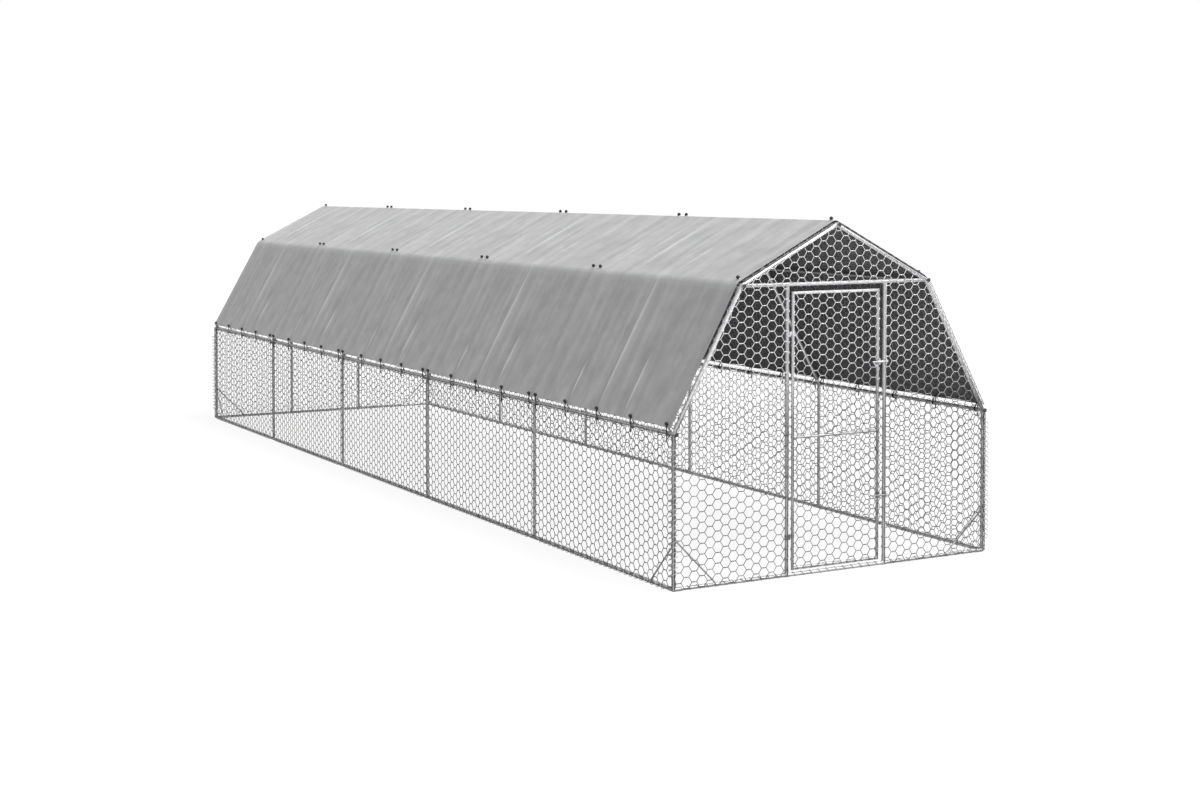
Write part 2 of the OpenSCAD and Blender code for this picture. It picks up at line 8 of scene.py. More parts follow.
import bpy
import numpy as np
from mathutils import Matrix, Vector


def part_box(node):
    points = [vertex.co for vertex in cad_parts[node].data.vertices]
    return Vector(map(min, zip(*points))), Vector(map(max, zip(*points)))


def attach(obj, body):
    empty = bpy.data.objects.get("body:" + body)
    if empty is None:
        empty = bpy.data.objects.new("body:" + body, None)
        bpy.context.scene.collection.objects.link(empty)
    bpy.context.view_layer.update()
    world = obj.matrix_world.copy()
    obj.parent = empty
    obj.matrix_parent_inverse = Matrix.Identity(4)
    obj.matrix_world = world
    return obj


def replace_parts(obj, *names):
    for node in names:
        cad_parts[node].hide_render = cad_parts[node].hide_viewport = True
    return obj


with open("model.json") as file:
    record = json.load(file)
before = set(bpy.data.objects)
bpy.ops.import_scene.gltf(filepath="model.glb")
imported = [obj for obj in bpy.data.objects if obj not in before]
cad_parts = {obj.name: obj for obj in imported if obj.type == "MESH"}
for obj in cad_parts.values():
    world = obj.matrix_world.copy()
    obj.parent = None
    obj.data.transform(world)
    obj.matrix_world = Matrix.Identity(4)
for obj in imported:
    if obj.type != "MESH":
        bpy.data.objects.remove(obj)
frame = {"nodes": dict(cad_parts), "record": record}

LOG = logging.getLogger("chicken_run")
FULL_TURN = 2.0 * math.pi
TRACE_LEVEL = logging.INFO
ARCHES = 6


class Body(Enum):
    """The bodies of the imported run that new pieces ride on."""

    FRAME = "frame"
    DOOR = "door"


class Slot(Enum):
    """The record's material slots that new pieces take their finish from."""

    NETTING = "netting"
    COVER = "cover"
    TIE = "tie"
    FITTING = "fitting"


class Side(Enum):
    """The two long sides of the run, with the sign of X on each."""

    LEFT = -1.0
    RIGHT = 1.0

    @property
    def word(self) -> str:
        """The side's name in small letters."""
        return self.name.lower()


@dataclass
class Shell:
    """Points and four-sided faces of a piece, in metres, before they become a mesh."""

    points: np.ndarray
    quads: np.ndarray

    @staticmethod
    def joined(shells: list["Shell"]) -> "Shell":
        """Puts several shells into one.

        Args:
            shells: the shells, in order.

        Returns:
            One shell, with each face list moved on by the points before it.
        """
        starts = np.cumsum([0] + [len(s.points) for s in shells[:-1]])
        quads = [s.quads + start for s, start in zip(shells, starts)]
        return Shell(np.concatenate([s.points for s in shells]), np.concatenate(quads))

    def placed(self, origins: np.ndarray, frames: np.ndarray) -> "Shell":
        """Copies the shell to many places.

        Args:
            origins: one point a copy.
            frames: for each copy three rows, where the shell's own x, y and z point.

        Returns:
            One shell with every copy: origin + x * row 0 + y * row 1 + z * row 2.
        """
        points = origins[:, None, :] + np.einsum("pj,njk->npk", self.points, frames)
        starts = np.arange(len(origins))[:, None, None] * len(self.points)
        return Shell(points.reshape(-1, 3), (self.quads[None] + starts).reshape(-1, 4))

    def piece(self, name: str, body: Body, slot: Slot, finish: bpy.types.Material) -> bpy.types.Object:
        """Makes the shell a smooth mesh that rides on a body.

        Args:
            name: the piece's name.
            body: the body that carries it.
            slot: the record's slot that it would take its finish from; not used.
            finish: its material.

        Returns:
            The new object, at the origin, with its place in its mesh.
        """
        mesh = bpy.data.meshes.new(name)
        mesh.from_pydata(self.points.tolist(), [], self.quads.tolist())
        mesh.polygons.foreach_set("use_smooth", np.ones(len(self.quads), dtype=bool))
        mesh.materials.append(finish)
        piece = bpy.data.objects.new(name, mesh)
        bpy.context.scene.collection.objects.link(piece)
        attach(piece, body.value)
        LOG.info("%s: %d points, %d faces on %s", name, len(self.points), len(self.quads), body.value)
        return piece


def unit(vectors: np.ndarray) -> np.ndarray:
    """Vectors of length 1 along the last axis."""
    return vectors / np.linalg.norm(vectors, axis=-1, keepdims=True)


def tubes(paths: np.ndarray, radius: float, sides: int, square_to: np.ndarray,
          closed: bool = False, kept: np.ndarray | None = None) -> Shell:
    """Carries a round profile along many paths at once.

    At each point of a path the profile stands square to the line between the point's two
    neighbours. Its first axis is that line crossed with square_to, its second is square to both,
    and its points are radius * (cos of the turn on the first + sin of the turn on the second).

    Args:
        paths: an array of paths, points and coordinates.
        radius: the profile's radius.
        sides: how many points the profile has; 4 where an open path gets end caps.
        square_to: a direction that no path runs along.
        closed: whether each path returns to its first point.
        kept: for open paths, which stretches between two points are made; all by default.

    Returns:
        The tubes, with each cut end closed by one face.
    """
    count, length, _ = paths.shape
    if closed:
        ahead = np.roll(paths, -1, axis=1) - np.roll(paths, 1, axis=1)
    else:
        ahead = np.gradient(paths, axis=1)
    ahead = unit(ahead)
    first = unit(np.cross(ahead, square_to))
    second = np.cross(first, ahead)
    turn = (np.arange(sides) + 0.5) * FULL_TURN / sides
    ring = np.cos(turn)[:, None] * first[:, :, None, :] + np.sin(turn)[:, None] * second[:, :, None, :]
    points = paths[:, :, None, :] + radius * ring
    index = np.arange(count * length * sides).reshape(count, length, sides)
    beside = np.roll(index, -1, axis=2)
    if closed:
        after, after_beside = np.roll(index, -1, axis=1), np.roll(beside, -1, axis=1)
        quads = np.stack([index, after, after_beside, beside], axis=-1).reshape(-1, 4)
        return Shell(points.reshape(-1, 3), quads)
    walls = np.stack([index[:, :-1], index[:, 1:], beside[:, 1:], beside[:, :-1]], axis=-1)
    if kept is None:
        kept = np.ones((count, length - 1), dtype=bool)
    rim = np.zeros((count, 1), dtype=bool)
    starts = kept & ~np.concatenate([rim, kept[:, :-1]], axis=1)
    ends = kept & ~np.concatenate([kept[:, 1:], rim], axis=1)
    quads = np.concatenate([walls[kept].reshape(-1, 4), index[:, :-1][starts], index[:, 1:][ends][:, ::-1]])
    used, quads = np.unique(quads, return_inverse=True)
    return Shell(points.reshape(-1, 3)[used], quads.reshape(-1, 4))


def prism(sides: int, radius: float, low: float, high: float) -> Shell:
    """An upright prism on the z axis with an even number of sides, open below, its top cut into quads."""
    turn = np.arange(sides) * FULL_TURN / sides
    ring = radius * np.stack([np.cos(turn), np.sin(turn)], axis=1)
    points = np.concatenate([np.insert(ring, 2, low, axis=1), np.insert(ring, 2, high, axis=1)])
    foot = np.arange(sides)
    beside = np.roll(foot, -1)
    walls = np.stack([foot, beside, beside + sides, foot + sides], axis=1)
    step = np.arange(1, sides - 2, 2)
    top = sides + np.stack([np.zeros_like(step), step, step + 1, step + 2], axis=1)
    return Shell(points, np.concatenate([walls, top]))


def turned(profile: np.ndarray, sides: int) -> Shell:
    """A surface of revolution about z: each profile row (radius, height) becomes a ring of points."""
    turn = np.arange(sides) * FULL_TURN / sides
    rings = np.stack([
        profile[:, None, 0] * np.cos(turn),
        profile[:, None, 0] * np.sin(turn),
        np.repeat(profile[:, 1:], sides, axis=1),
    ], axis=-1)
    index = np.arange(rings.shape[0] * sides).reshape(-1, sides)
    beside = np.roll(index, -1, axis=1)
    quads = np.stack([index[:-1], beside[:-1], beside[1:], index[1:]], axis=-1)
    return Shell(rings.reshape(-1, 3), quads.reshape(-1, 4))


@dataclass
class RunLines:
    """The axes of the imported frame's tubes, in metres, read from the nodes' boxes."""

    eave_height: float = 1.040
    half_width: float = field(init=False)
    half_length: float = field(init=False)
    sill: float = field(init=False)
    tube: float = field(init=False)
    net_out: float = field(init=False)
    rail: np.ndarray = field(init=False)
    knee: np.ndarray = field(init=False)
    ridge: np.ndarray = field(init=False)
    jamb: float = field(init=False)

    def __post_init__(self) -> None:
        """Reads each line from the middle of the box of a node that runs along it."""
        self.half_width = self.middle("posts_right")[0]
        self.half_length = -self.middle("hinge_jamb")[1]
        self.sill = self.middle("sills_right")[2]
        low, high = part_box("latch_jamb")
        self.tube = (high[0] - low[0]) / 2
        self.net_out = self.middle("side_net_right")[0] - self.half_width
        self.rail = self.middle("eave_rails_right")[[0, 2]]
        self.knee = self.middle("knee_rails_right")[[0, 2]]
        self.ridge = self.middle("ridge_rails")[[0, 2]]
        self.jamb = self.middle("latch_jamb")[0]

    @staticmethod
    def middle(node: str) -> np.ndarray:
        """The middle of a node's box."""
        low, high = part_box(node)
        return (np.array(low) + np.array(high)) / 2

    @property
    def eave(self) -> np.ndarray:
        """Where the lines of a right post and its lower rafter meet, as x and z."""
        return np.array([self.half_width, self.eave_height])

    @property
    def arches(self) -> np.ndarray:
        """The y of each arch."""
        return np.linspace(-self.half_length, self.half_length, ARCHES)

    @property
    def low_way(self) -> np.ndarray:
        """The way up the right lower slope, as x and z."""
        return unit(self.knee - self.eave)

    @property
    def top_way(self) -> np.ndarray:
        """The way up the right upper slope, as x and z."""
        return unit(self.ridge - self.knee)

    @staticmethod
    def outward(way: np.ndarray) -> np.ndarray:
        """The direction square to a right slope that points out of the run."""
        return np.array([way[1], -way[0]])

    @staticmethod
    def on_side(flat: np.ndarray, side: Side, y: float = 0.0) -> np.ndarray:
        """A right-hand point or direction in x and z, moved to a side and given its y."""
        return np.array([flat[0] * side.value, y, flat[1]])


@dataclass(frozen=True)
class Weave:
    """Sizes of the hexagonal netting, in metres."""

    flats: float = 0.071
    wire: float = 0.0026
    twist_points: int = 4
    wire_sides: int = 4
    bulge: float = 0.004
    bulge_length: float = 0.83
    stray: float = 0.0013
    stray_length: float = 0.47
    stray_leans: tuple[float, float] = (0.6, -0.7)

    @property
    def side(self) -> float:
        """Length of a mesh's side."""
        return self.flats / math.sqrt(3.0)

    @property
    def lane(self) -> float:
        """Distance between two wires' middle lines."""
        return self.flats / 2.0

    @property
    def column(self) -> float:
        """Distance between two columns of twists."""
        return 1.5 * self.side


@dataclass
class NetPanel:
    """One net: its plane, its outline as rows of height, left and right, and the node it stands for."""

    name: str
    origin: np.ndarray
    across: np.ndarray
    up: np.ndarray
    levels: np.ndarray
    node: str
    body: Body = Body.FRAME
    bulging: bool = True

    @property
    def outward(self) -> np.ndarray:
        """The direction that the net faces."""
        return np.cross(self.across, self.up)

    def at(self, u: np.ndarray, v: np.ndarray, w: np.ndarray) -> np.ndarray:
        """Points at u across, v up and w out of the plane."""
        plane = u[..., None] * self.across + v[..., None] * self.up
        return self.origin + plane + w[..., None] * self.outward

    def wires(self, weave: Weave) -> Shell:
        """The net's wires, each one unbroken tube from border to border.

        Wire n keeps to lane n. In each column it twists once round the wire above it or below it,
        by turns: u runs along the twist, and v and w are the lane, plus or minus half a lane to the
        twist's line, less a wire's radius times the cosine and sine of the turn. Long waves move
        the wires a little in the plane and out of it. Points outside the outline are brought to it.

        Args:
            weave: the netting's sizes.

        Returns:
            The wires, cut at the outline.
        """
        heights, left, right = self.levels.T
        lanes = np.arange(math.floor(heights[0] / weave.lane), math.ceil(heights[-1] / weave.lane) + 1)
        reach = left.min() / weave.column, right.max() / weave.column
        columns = np.arange(math.floor(reach[0]) - 1, math.ceil(reach[1]) + 2)
        share = np.linspace(0.0, 1.0, weave.twist_points)
        way = np.where((lanes[:, None] + columns[None, :]) % 2 == 0, 1.0, -1.0)[..., None]
        turn = share * FULL_TURN
        u = columns[None, :, None] * weave.column + (share - 0.5) * weave.side
        v = lanes[:, None, None] * weave.lane + way * (weave.lane / 2 - weave.wire * np.cos(turn))
        w = -way * weave.wire * np.sin(turn)
        u, v, w = (a.reshape(len(lanes), -1) for a in np.broadcast_arrays(u, v, w))
        wave_u, wave_v = u * FULL_TURN / weave.stray_length, v * FULL_TURN / weave.stray_length
        lean_u, lean_v = weave.stray_leans
        u = u + weave.stray * np.sin(wave_v + lean_u * wave_u)
        v = v + weave.stray * np.sin(wave_u + lean_v * wave_v)
        lower, upper = np.interp(v, heights, left), np.interp(v, heights, right)
        inside = (u > lower) & (u < upper) & (v > heights[0]) & (v < heights[-1])
        u, v = np.clip(u, lower, upper), np.clip(v, heights[0], heights[-1])
        if self.bulging:
            swell = np.sin(math.pi * (v - heights[0]) / (heights[-1] - heights[0]))
            w = w + weave.bulge * swell * np.sin(u * FULL_TURN / weave.bulge_length)
        kept = inside[:, :-1] | inside[:, 1:]
        return tubes(self.at(u, v, w), weave.wire, weave.wire_sides, self.outward, kept=kept)

    def border(self, weave: Weave) -> Shell:
        """The selvedge: a wire along the outline, from the lowest level up the right and down the left."""
        heights, left, right = self.levels.T
        u, v = np.concatenate([right, left[::-1]]), np.concatenate([heights, heights[::-1]])
        path = self.at(u, v, np.zeros_like(u))[None]
        return tubes(path, weave.wire, weave.wire_sides, self.outward, closed=True)

    def build(self, weave: Weave, finish: bpy.types.Material) -> bpy.types.Object:
        """Makes the net's piece and lets it stand for its node."""
        shell = Shell.joined([self.wires(weave), self.border(weave)])
        piece = shell.piece(self.name, self.body, Slot.NETTING, finish)
        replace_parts(piece, self.node)
        return piece


@dataclass
class Netting:
    """All the nets of the run and the wire loops that hold them to the tubes."""

    lines: RunLines
    weave: Weave = field(default_factory=Weave)
    roof_weave: Weave = field(default_factory=lambda: Weave(wire=0.0021))
    rail_clear: float = 0.034
    roof_lift: float = 0.006
    loop_pitch: float = 0.071
    corner_pitch: float = 0.0355
    loop_points: int = 10
    loop_sides: int = 4
    loop_wire: float = 0.0027
    tight: float = 0.0005
    loose: float = 0.005
    corner_loose: float = 0.014
    slant: float = 0.012
    joint_room: float = 0.085
    fitting_room: float = 0.034
    hinge_heights: tuple[float, ...] = (0.272, 1.660)

    def long_panels(self, side: Side) -> list[NetPanel]:
        """The side wall and the two slopes on one side."""
        lines = self.lines
        across = np.array([0.0, side.value, 0.0])
        made = []
        wall = (lines.eave, np.array([0.0, 1.0]), lines.sill - lines.eave[1], lines.rail[1] - lines.eave[1])
        low_length = np.linalg.norm(lines.knee - lines.eave)
        top_length = np.linalg.norm(lines.ridge - lines.knee)
        low = (lines.eave, lines.low_way, self.rail_clear, low_length - self.rail_clear)
        top = (lines.knee, lines.top_way, self.rail_clear, top_length - self.rail_clear)
        for word, spread in {"side": wall, "low": low, "top": top}.items():
            start, way, v_low, v_high = spread
            node = f"{word}_net_{side.word}"
            box_low, box_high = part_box(node)
            ends = np.sort(np.array([box_low[1], box_high[1]]) * side.value)
            lift = 0.0 if word == "side" else self.roof_lift
            origin = lines.on_side(start + (lines.net_out + lift) * lines.outward(way), side)
            up = lines.on_side(way, side)
            levels = np.array([[v_low, ends[0], ends[1]], [v_high, ends[0], ends[1]]])
            made.append(NetPanel(f"fine_{node}", origin, across, up, levels, node, bulging=word == "side"))
        return made

    def end_panels(self) -> list[NetPanel]:
        """The nets beside the door, the front gable, the back end and the door's own net."""
        lines = self.lines
        wide, knee, jamb = lines.half_width, lines.knee[0], lines.jamb
        foot, eave, shoulder, peak = lines.sill, lines.eave_height, lines.knee[1], lines.ridge[1]
        front = np.array([0.0, -lines.half_length - lines.net_out, 0.0])
        back = np.array([0.0, lines.half_length + lines.net_out, 0.0])
        east, sky = np.array([1.0, 0.0, 0.0]), np.array([0.0, 0.0, 1.0])
        beside_left = np.array([[foot, -wide, -jamb], [eave, -wide, -jamb], [shoulder, -knee, -jamb]])
        beside_right = np.array([[foot, jamb, wide], [eave, jamb, wide], [shoulder, jamb, knee]])
        gable = np.array([[shoulder, -knee, knee], [peak, 0.0, 0.0]])
        whole = np.concatenate([[[foot, -wide, wide], [eave, -wide, wide]], gable])
        hinge, latch = lines.middle("hinge_stile")[0], lines.middle("latch_stile")[0]
        door_low, door_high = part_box("hinge_stile")
        leaf = np.array([[door_low[2], hinge, latch], [door_high[2], hinge, latch]])
        plane = np.array([0.0, lines.middle("door_net")[1], 0.0])
        return [
            NetPanel("fine_front_net_left", front, east, sky, beside_left, "front_net_left"),
            NetPanel("fine_front_net_right", front, east, sky, beside_right, "front_net_right"),
            NetPanel("fine_gable_net", front, east, sky, gable, "gable_net"),
            NetPanel("fine_back_net", back, -east, sky, whole, "back_net"),
            NetPanel("fine_door_net", plane, east, sky, leaf, "door_net", body=Body.DOOR),
        ]

    def loops(self, start: np.ndarray, end: np.ndarray, out: np.ndarray, tube: float, slack: float,
              fittings: tuple[float, ...] = (), pitch: float | None = None) -> Shell:
        """Wire loops round one tube, evenly spaced.

        A loop's points are the tube's line + (the tube's radius + slack + the wire) times the cosine
        and sine of the turn, its middle is moved out by the slack, and the sine of the turn also
        slants it along the tube. No point goes below the ground.

        Args:
            start: where the tube's row of loops begins, on its axis.
            end: where it ends.
            out: the direction square to the tube that the net lies on.
            tube: the tube's radius.
            slack: how far a loop stands off the tube.
            fittings: the heights of fittings on the tube, where no loop goes.
            pitch: the distance between two loops; one mesh by default.

        Returns:
            The loops.
        """
        along = unit(end - start)
        count = max(2, round(float(np.linalg.norm(end - start)) / (pitch or self.loop_pitch)))
        share = (np.arange(count) + 0.5) / count
        middles = start + share[:, None] * (end - start) + slack * out
        for height in fittings:
            middles = middles[np.abs(middles[:, 2] - height) > self.fitting_room]
        turn = np.arange(self.loop_points) * FULL_TURN / self.loop_points
        radius = tube + slack + self.loop_wire
        ring = radius * (np.cos(turn)[:, None] * out + np.sin(turn)[:, None] * np.cross(along, out))
        ring = ring + self.slant * np.sin(turn)[:, None] * along
        paths = middles[:, None, :] + ring[None]
        paths[..., 2] = np.maximum(paths[..., 2], self.loop_wire)
        return tubes(paths, self.loop_wire, self.loop_sides, along, closed=True)

    def side_loops(self, side: Side) -> list[Shell]:
        """The loops on one side's sills, eave rails and posts, and on its end arches' lower rafters."""
        lines, room = self.lines, self.joint_room
        ends = lines.arches[[0, -1]]
        beside = np.array([side.value, 0.0, 0.0])
        shells = []
        for flat in (np.array([lines.half_width, lines.sill]), lines.rail):
            for near, far in zip(lines.arches[:-1], lines.arches[1:]):
                start, end = (lines.on_side(flat, side, y) for y in (near + room, far - room))
                shells.append(self.loops(start, end, beside, lines.tube, self.loose))
        for y in lines.arches:
            facing = np.array([0.0, np.sign(y), 0.0])
            heights = (lines.sill + room, lines.rail[1] - room)
            foot, head = (lines.on_side(np.array([lines.half_width, z]), side, y) for z in heights)
            if y not in ends:
                shells.append(self.loops(foot, head, beside, lines.tube, self.loose))
                continue
            shells.append(self.loops(foot, head, unit(beside + facing), lines.tube, self.corner_loose,
                                     pitch=self.corner_pitch))
            slope = (lines.eave + room * lines.low_way, lines.knee - room * lines.low_way)
            start, end = (lines.on_side(flat, side, y) for flat in slope)
            shells.append(self.loops(start, end, facing, lines.tube, self.tight))
        return shells

    def end_loops(self, y: float, latches: tuple[float, ...]) -> list[Shell]:
        """The loops on one end's jambs or uprights, its sill and its tie.

        Args:
            y: where the end's arch stands.
            latches: the heights of the bolts.

        Returns:
            One shell for each tube.
        """
        lines, room = self.lines, self.joint_room
        out = np.array([0.0, np.sign(y), 0.0])
        shells = []
        for x, fittings in ((-lines.jamb, self.hinge_heights), (lines.jamb, latches)):
            foot, head = (np.array([x, y, z]) for z in (lines.sill + room, lines.knee[1] - room))
            shells.append(self.loops(foot, head, out, lines.tube, self.tight, fittings))
        for reach, z in ((lines.half_width, lines.sill), (lines.knee[0], lines.knee[1])):
            start, end = (np.array([x, y, z]) for x in (-reach + room, reach - room))
            shells.append(self.loops(start, end, out, lines.tube, self.tight))
        return shells

    def door_loops(self, latches: tuple[float, ...]) -> list[Shell]:
        """The loops on the door's two stiles, with the bolts' heights given."""
        low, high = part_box("hinge_stile")
        radius, out = (high[0] - low[0]) / 2, np.array([0.0, -1.0, 0.0])
        heights = (low[2] + self.joint_room / 2, high[2] - self.joint_room / 2)
        shells = []
        for node, fittings in (("hinge_stile", self.hinge_heights), ("latch_stile", latches)):
            x, y, _ = self.lines.middle(node)
            foot, head = (np.array([x, y, z]) for z in heights)
            shells.append(self.loops(foot, head, out, radius, self.tight, fittings))
        return shells

    def build_loops(self, finish: bpy.types.Material) -> None:
        """Makes the loops of the frame and those of the door."""
        latches = tuple(self.lines.middle(node)[2] for node in ("bolt_lower", "bolt_upper"))
        shells = [shell for side in Side for shell in self.side_loops(side)]
        shells += [shell for y in self.lines.arches[[0, -1]] for shell in self.end_loops(y, latches)]
        Shell.joined(shells).piece("net_loops", Body.FRAME, Slot.NETTING, finish)
        Shell.joined(self.door_loops(latches)).piece("door_net_loops", Body.DOOR, Slot.NETTING, finish)

    def build(self, open_wire: bpy.types.Material, painted_shade_roof_wire: bpy.types.Material,
              loop_wire: bpy.types.Material) -> None:
        """Makes every net and all the loops.

        Args:
            open_wire: the finish of the nets of the walls, the ends and the door.
            painted_shade_roof_wire: the finish of the nets under the covers, darker to paint the shade there.
            loop_wire: the finish of the loops.
        """
        for panel in [p for side in Side for p in self.long_panels(side)] + self.end_panels():
            # painted shade: the nets under the covers take the darker wire finish
            if panel.node.startswith(("low", "top")):
                panel.build(self.roof_weave, painted_shade_roof_wire)
            else:
                panel.build(self.weave, open_wire)
        self.build_loops(loop_wire)


@dataclass(frozen=True)
class Streak:
    """A wrinkle that runs down a slope of a cover, as shares of the cover and the slope."""

    along: float
    low: float
    high: float
    height: float
    width: float
    # how strongly the wrinkle shows its painted highlight and painted shade
    shine: float


LOW_STREAKS = (
    Streak(0.505, 0.02, 1.02, 0.0105, 0.018, 0.85),
    Streak(0.722, 0.06, 0.34, 0.0075, 0.013, 1.00),
    Streak(0.322, 0.04, 0.46, 0.0085, 0.014, 1.00),
    Streak(0.575, 0.10, 1.00, 0.0080, 0.046, 0.10),
    Streak(0.415, 0.15, 0.98, 0.0095, 0.062, 0.16),
    Streak(0.146, 0.20, 0.90, 0.0065, 0.050, 0.10),
    Streak(0.690, 0.25, 0.95, 0.0075, 0.056, 0.12),
    Streak(0.865, 0.10, 0.95, 0.0055, 0.042, 0.10),
    Streak(0.240, 0.30, 0.98, 0.0050, 0.036, 0.10),
)
TOP_STREAKS = (
    Streak(0.726, 0.16, 0.92, 0.0075, 0.016, 0.70),
    Streak(0.450, 0.10, 0.62, 0.0060, 0.017, 0.48),
    Streak(0.560, 0.30, 0.90, 0.0050, 0.020, 0.34),
    Streak(0.935, 0.05, 0.55, 0.0045, 0.015, 0.44),
    Streak(0.120, 0.48, 0.95, 0.0045, 0.015, 0.44),
    Streak(0.830, 0.40, 0.95, 0.0040, 0.018, 0.32),
    Streak(0.250, 0.10, 0.90, 0.0060, 0.060, 0.12),
    Streak(0.630, 0.20, 0.95, 0.0060, 0.055, 0.12),
)


@dataclass
class CoverSizes:
    """Sizes that the five covers share, in metres."""

    rise: float = 0.0304
    thickness: float = 0.0008
    knee_bend: float = 0.090
    # the painted highlight along each knee: its strength and half width
    knee_glow: float = 0.30
    knee_glow_half: float = 0.024
    ridge_bend: float = 0.045
    bend_steps: int = 8
    slope_step: float = 0.045
    lap: float = 0.014
    lap_rise: float = 0.0011
    lap_fade: float = 0.080
    hem: float = 0.036
    hem_rise: float = 0.0007
    hem_lift: float = 0.004
    hem_scallop: float = 0.006
    hem_fade: float = 0.16
    even_columns: int = 96
    streak_columns: int = 9
    streak_reach: float = 1.5
    # wrinkles whose painted light is above this get close columns
    narrow_shine: float = 0.3
    column_places: int = 3
    # where the painted highlight and the painted shade lie across a wrinkle, and how strong the shade is
    lit_edge: tuple[float, float] = (2.2, 0.9)
    shaded_edge: tuple[float, float] = (2.0, -1.5)
    shaded_share: float = 0.7
    tie_inset: float = 0.050
    hem_ties: int = 5

    def skin(self, bend: float, half_turn: float) -> float:
        """How far a rounded corner's middle lies from the axis of the rail under it.

        Args:
            bend: the corner's radius.
            half_turn: half the angle that the sheet turns through there.

        Returns:
            The distance of the sharp corner, less what the rounding takes off.
        """
        return bend + (self.rise - bend) / math.cos(half_turn)


@dataclass
class RoofCover:
    """One roof cover: a sheet laid over the arches of a bay from hem to hem."""

    lines: RunLines
    sizes: CoverSizes
    number: int
    front: float = field(init=False)
    back: float = field(init=False)
    foot: float = field(init=False)

    def __post_init__(self) -> None:
        """Reads where the cover lies from its node."""
        low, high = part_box(self.node)
        self.front, self.back = low[1], high[1]
        self.foot = low[2]

    @property
    def node(self) -> str:
        """The node that the sheet stands for."""
        return f"cover_{self.number}"

    @property
    def length(self) -> float:
        """The sheet's size along the run, with its lap over the next one."""
        return self.back - self.front + self.sizes.lap

    def corners(self) -> np.ndarray:
        """The sheet's section as corner points, from the left hem over the ridge to the right hem."""
        lines, rise = self.lines, self.sizes.rise
        low_out, top_out = lines.outward(lines.low_way), lines.outward(lines.top_way)
        start = lines.eave + rise * low_out
        hem = start + lines.low_way * (self.foot - start[1]) / lines.low_way[1]
        half = unit(low_out + top_out)
        knee = lines.knee + rise / (half @ low_out) * half
        ridge = lines.ridge + np.array([0.0, rise / top_out[1]])
        right = np.array([hem, knee])
        return np.concatenate([right * [-1.0, 1.0], [ridge], right[::-1]])

    def section(self) -> tuple[np.ndarray, np.ndarray, np.ndarray]:
        """The section with its corners rounded: points, outward normals and the distance run.

        Each corner becomes an arc: its points are the arc's middle + the radius times a direction
        that turns evenly from the normal before the corner to the normal after it.
        """
        sizes, corners = self.sizes, self.corners()
        bends = np.array([sizes.knee_bend, sizes.ridge_bend, sizes.knee_bend])
        ways = unit(np.diff(corners, axis=0))
        outs = np.stack([-ways[:, 1], ways[:, 0]], axis=1)
        angles = np.arctan2(outs[:, 1], outs[:, 0])
        reach = bends * np.tan(np.abs(np.diff(angles)) / 2)
        starts = corners[:-1] + ways * np.concatenate([[0.0], reach])[:, None]
        ends = corners[1:] - ways * np.concatenate([reach, [0.0]])[:, None]
        points, turns = [], []
        for i, (start, end, angle) in enumerate(zip(starts, ends, angles)):
            steps = max(2, math.ceil(np.linalg.norm(end - start) / sizes.slope_step))
            share = np.linspace(0.0, 1.0, steps + 1)[:, None]
            points.append(start + share * (end - start))
            turns.append(np.full(steps + 1, angle))
            if i < len(reach):
                bend = np.linspace(angle, angles[i + 1], sizes.bend_steps + 1)[1:-1]
                middle = end - bends[i] * outs[i]
                points.append(middle + bends[i] * np.stack([np.cos(bend), np.sin(bend)], axis=1))
                turns.append(bend)
        points, turns = np.concatenate(points), np.concatenate(turns)
        run = np.concatenate([[0.0], np.cumsum(np.linalg.norm(np.diff(points, axis=0), axis=1))])
        return points, np.stack([np.cos(turns), np.sin(turns)], axis=1), run

    def columns(self) -> np.ndarray:
        """Where the sheet's columns lie along the run: even, with more across each narrow wrinkle."""
        sizes = self.sizes
        even = np.linspace(0.0, self.length, sizes.even_columns + 1)
        narrow = [s for s in LOW_STREAKS + TOP_STREAKS if s.shine > sizes.narrow_shine]
        spread = np.linspace(-sizes.streak_reach, sizes.streak_reach, sizes.streak_columns)
        close = np.concatenate([s.along * self.length + spread * s.width for s in narrow])
        every = np.concatenate([even, close])
        return np.unique(np.round(np.clip(every, 0.0, self.length), sizes.column_places))

    def wrinkles(self, share: np.ndarray, y: np.ndarray,
                 streaks: tuple[Streak, ...]) -> tuple[np.ndarray, np.ndarray]:
        """The height and the painted light of a slope's wrinkles.

        A wrinkle is its height times a bell curve across it, times a hump along it that starts and
        ends at its low and high shares. Its painted light is the same hump times two narrower bell
        curves: a painted highlight above 0 on the half that faces the front, and a painted shade below 0
        on the half behind.

        Args:
            share: how far up the slope each point is.
            y: how far along the cover each point is.
            streaks: the slope's wrinkles.

        Returns:
            Heights in metres, and painted light from -1, full painted shade, to 1, a full painted highlight.
        """
        sizes = self.sizes
        height, shine = np.zeros((2, *np.broadcast(share, y).shape))
        for s in streaks:
            across = (y - s.along * self.length) / s.width
            span = np.clip((share - s.low) / (s.high - s.low), 0.0, 1.0)
            hump = np.sqrt(np.sin(math.pi * span)) * ((share > s.low) & (share < s.high))
            height = height + s.height * hump * np.exp(-across ** 2)
            bells = (sizes.lit_edge, sizes.shaded_edge)
            lit, shaded = (np.exp(-(narrow * across + aside) ** 2) for narrow, aside in bells)
            shine = shine + s.shine * hump * (lit - sizes.shaded_share * shaded)
        return height, np.clip(shine, -1.0, 1.0)

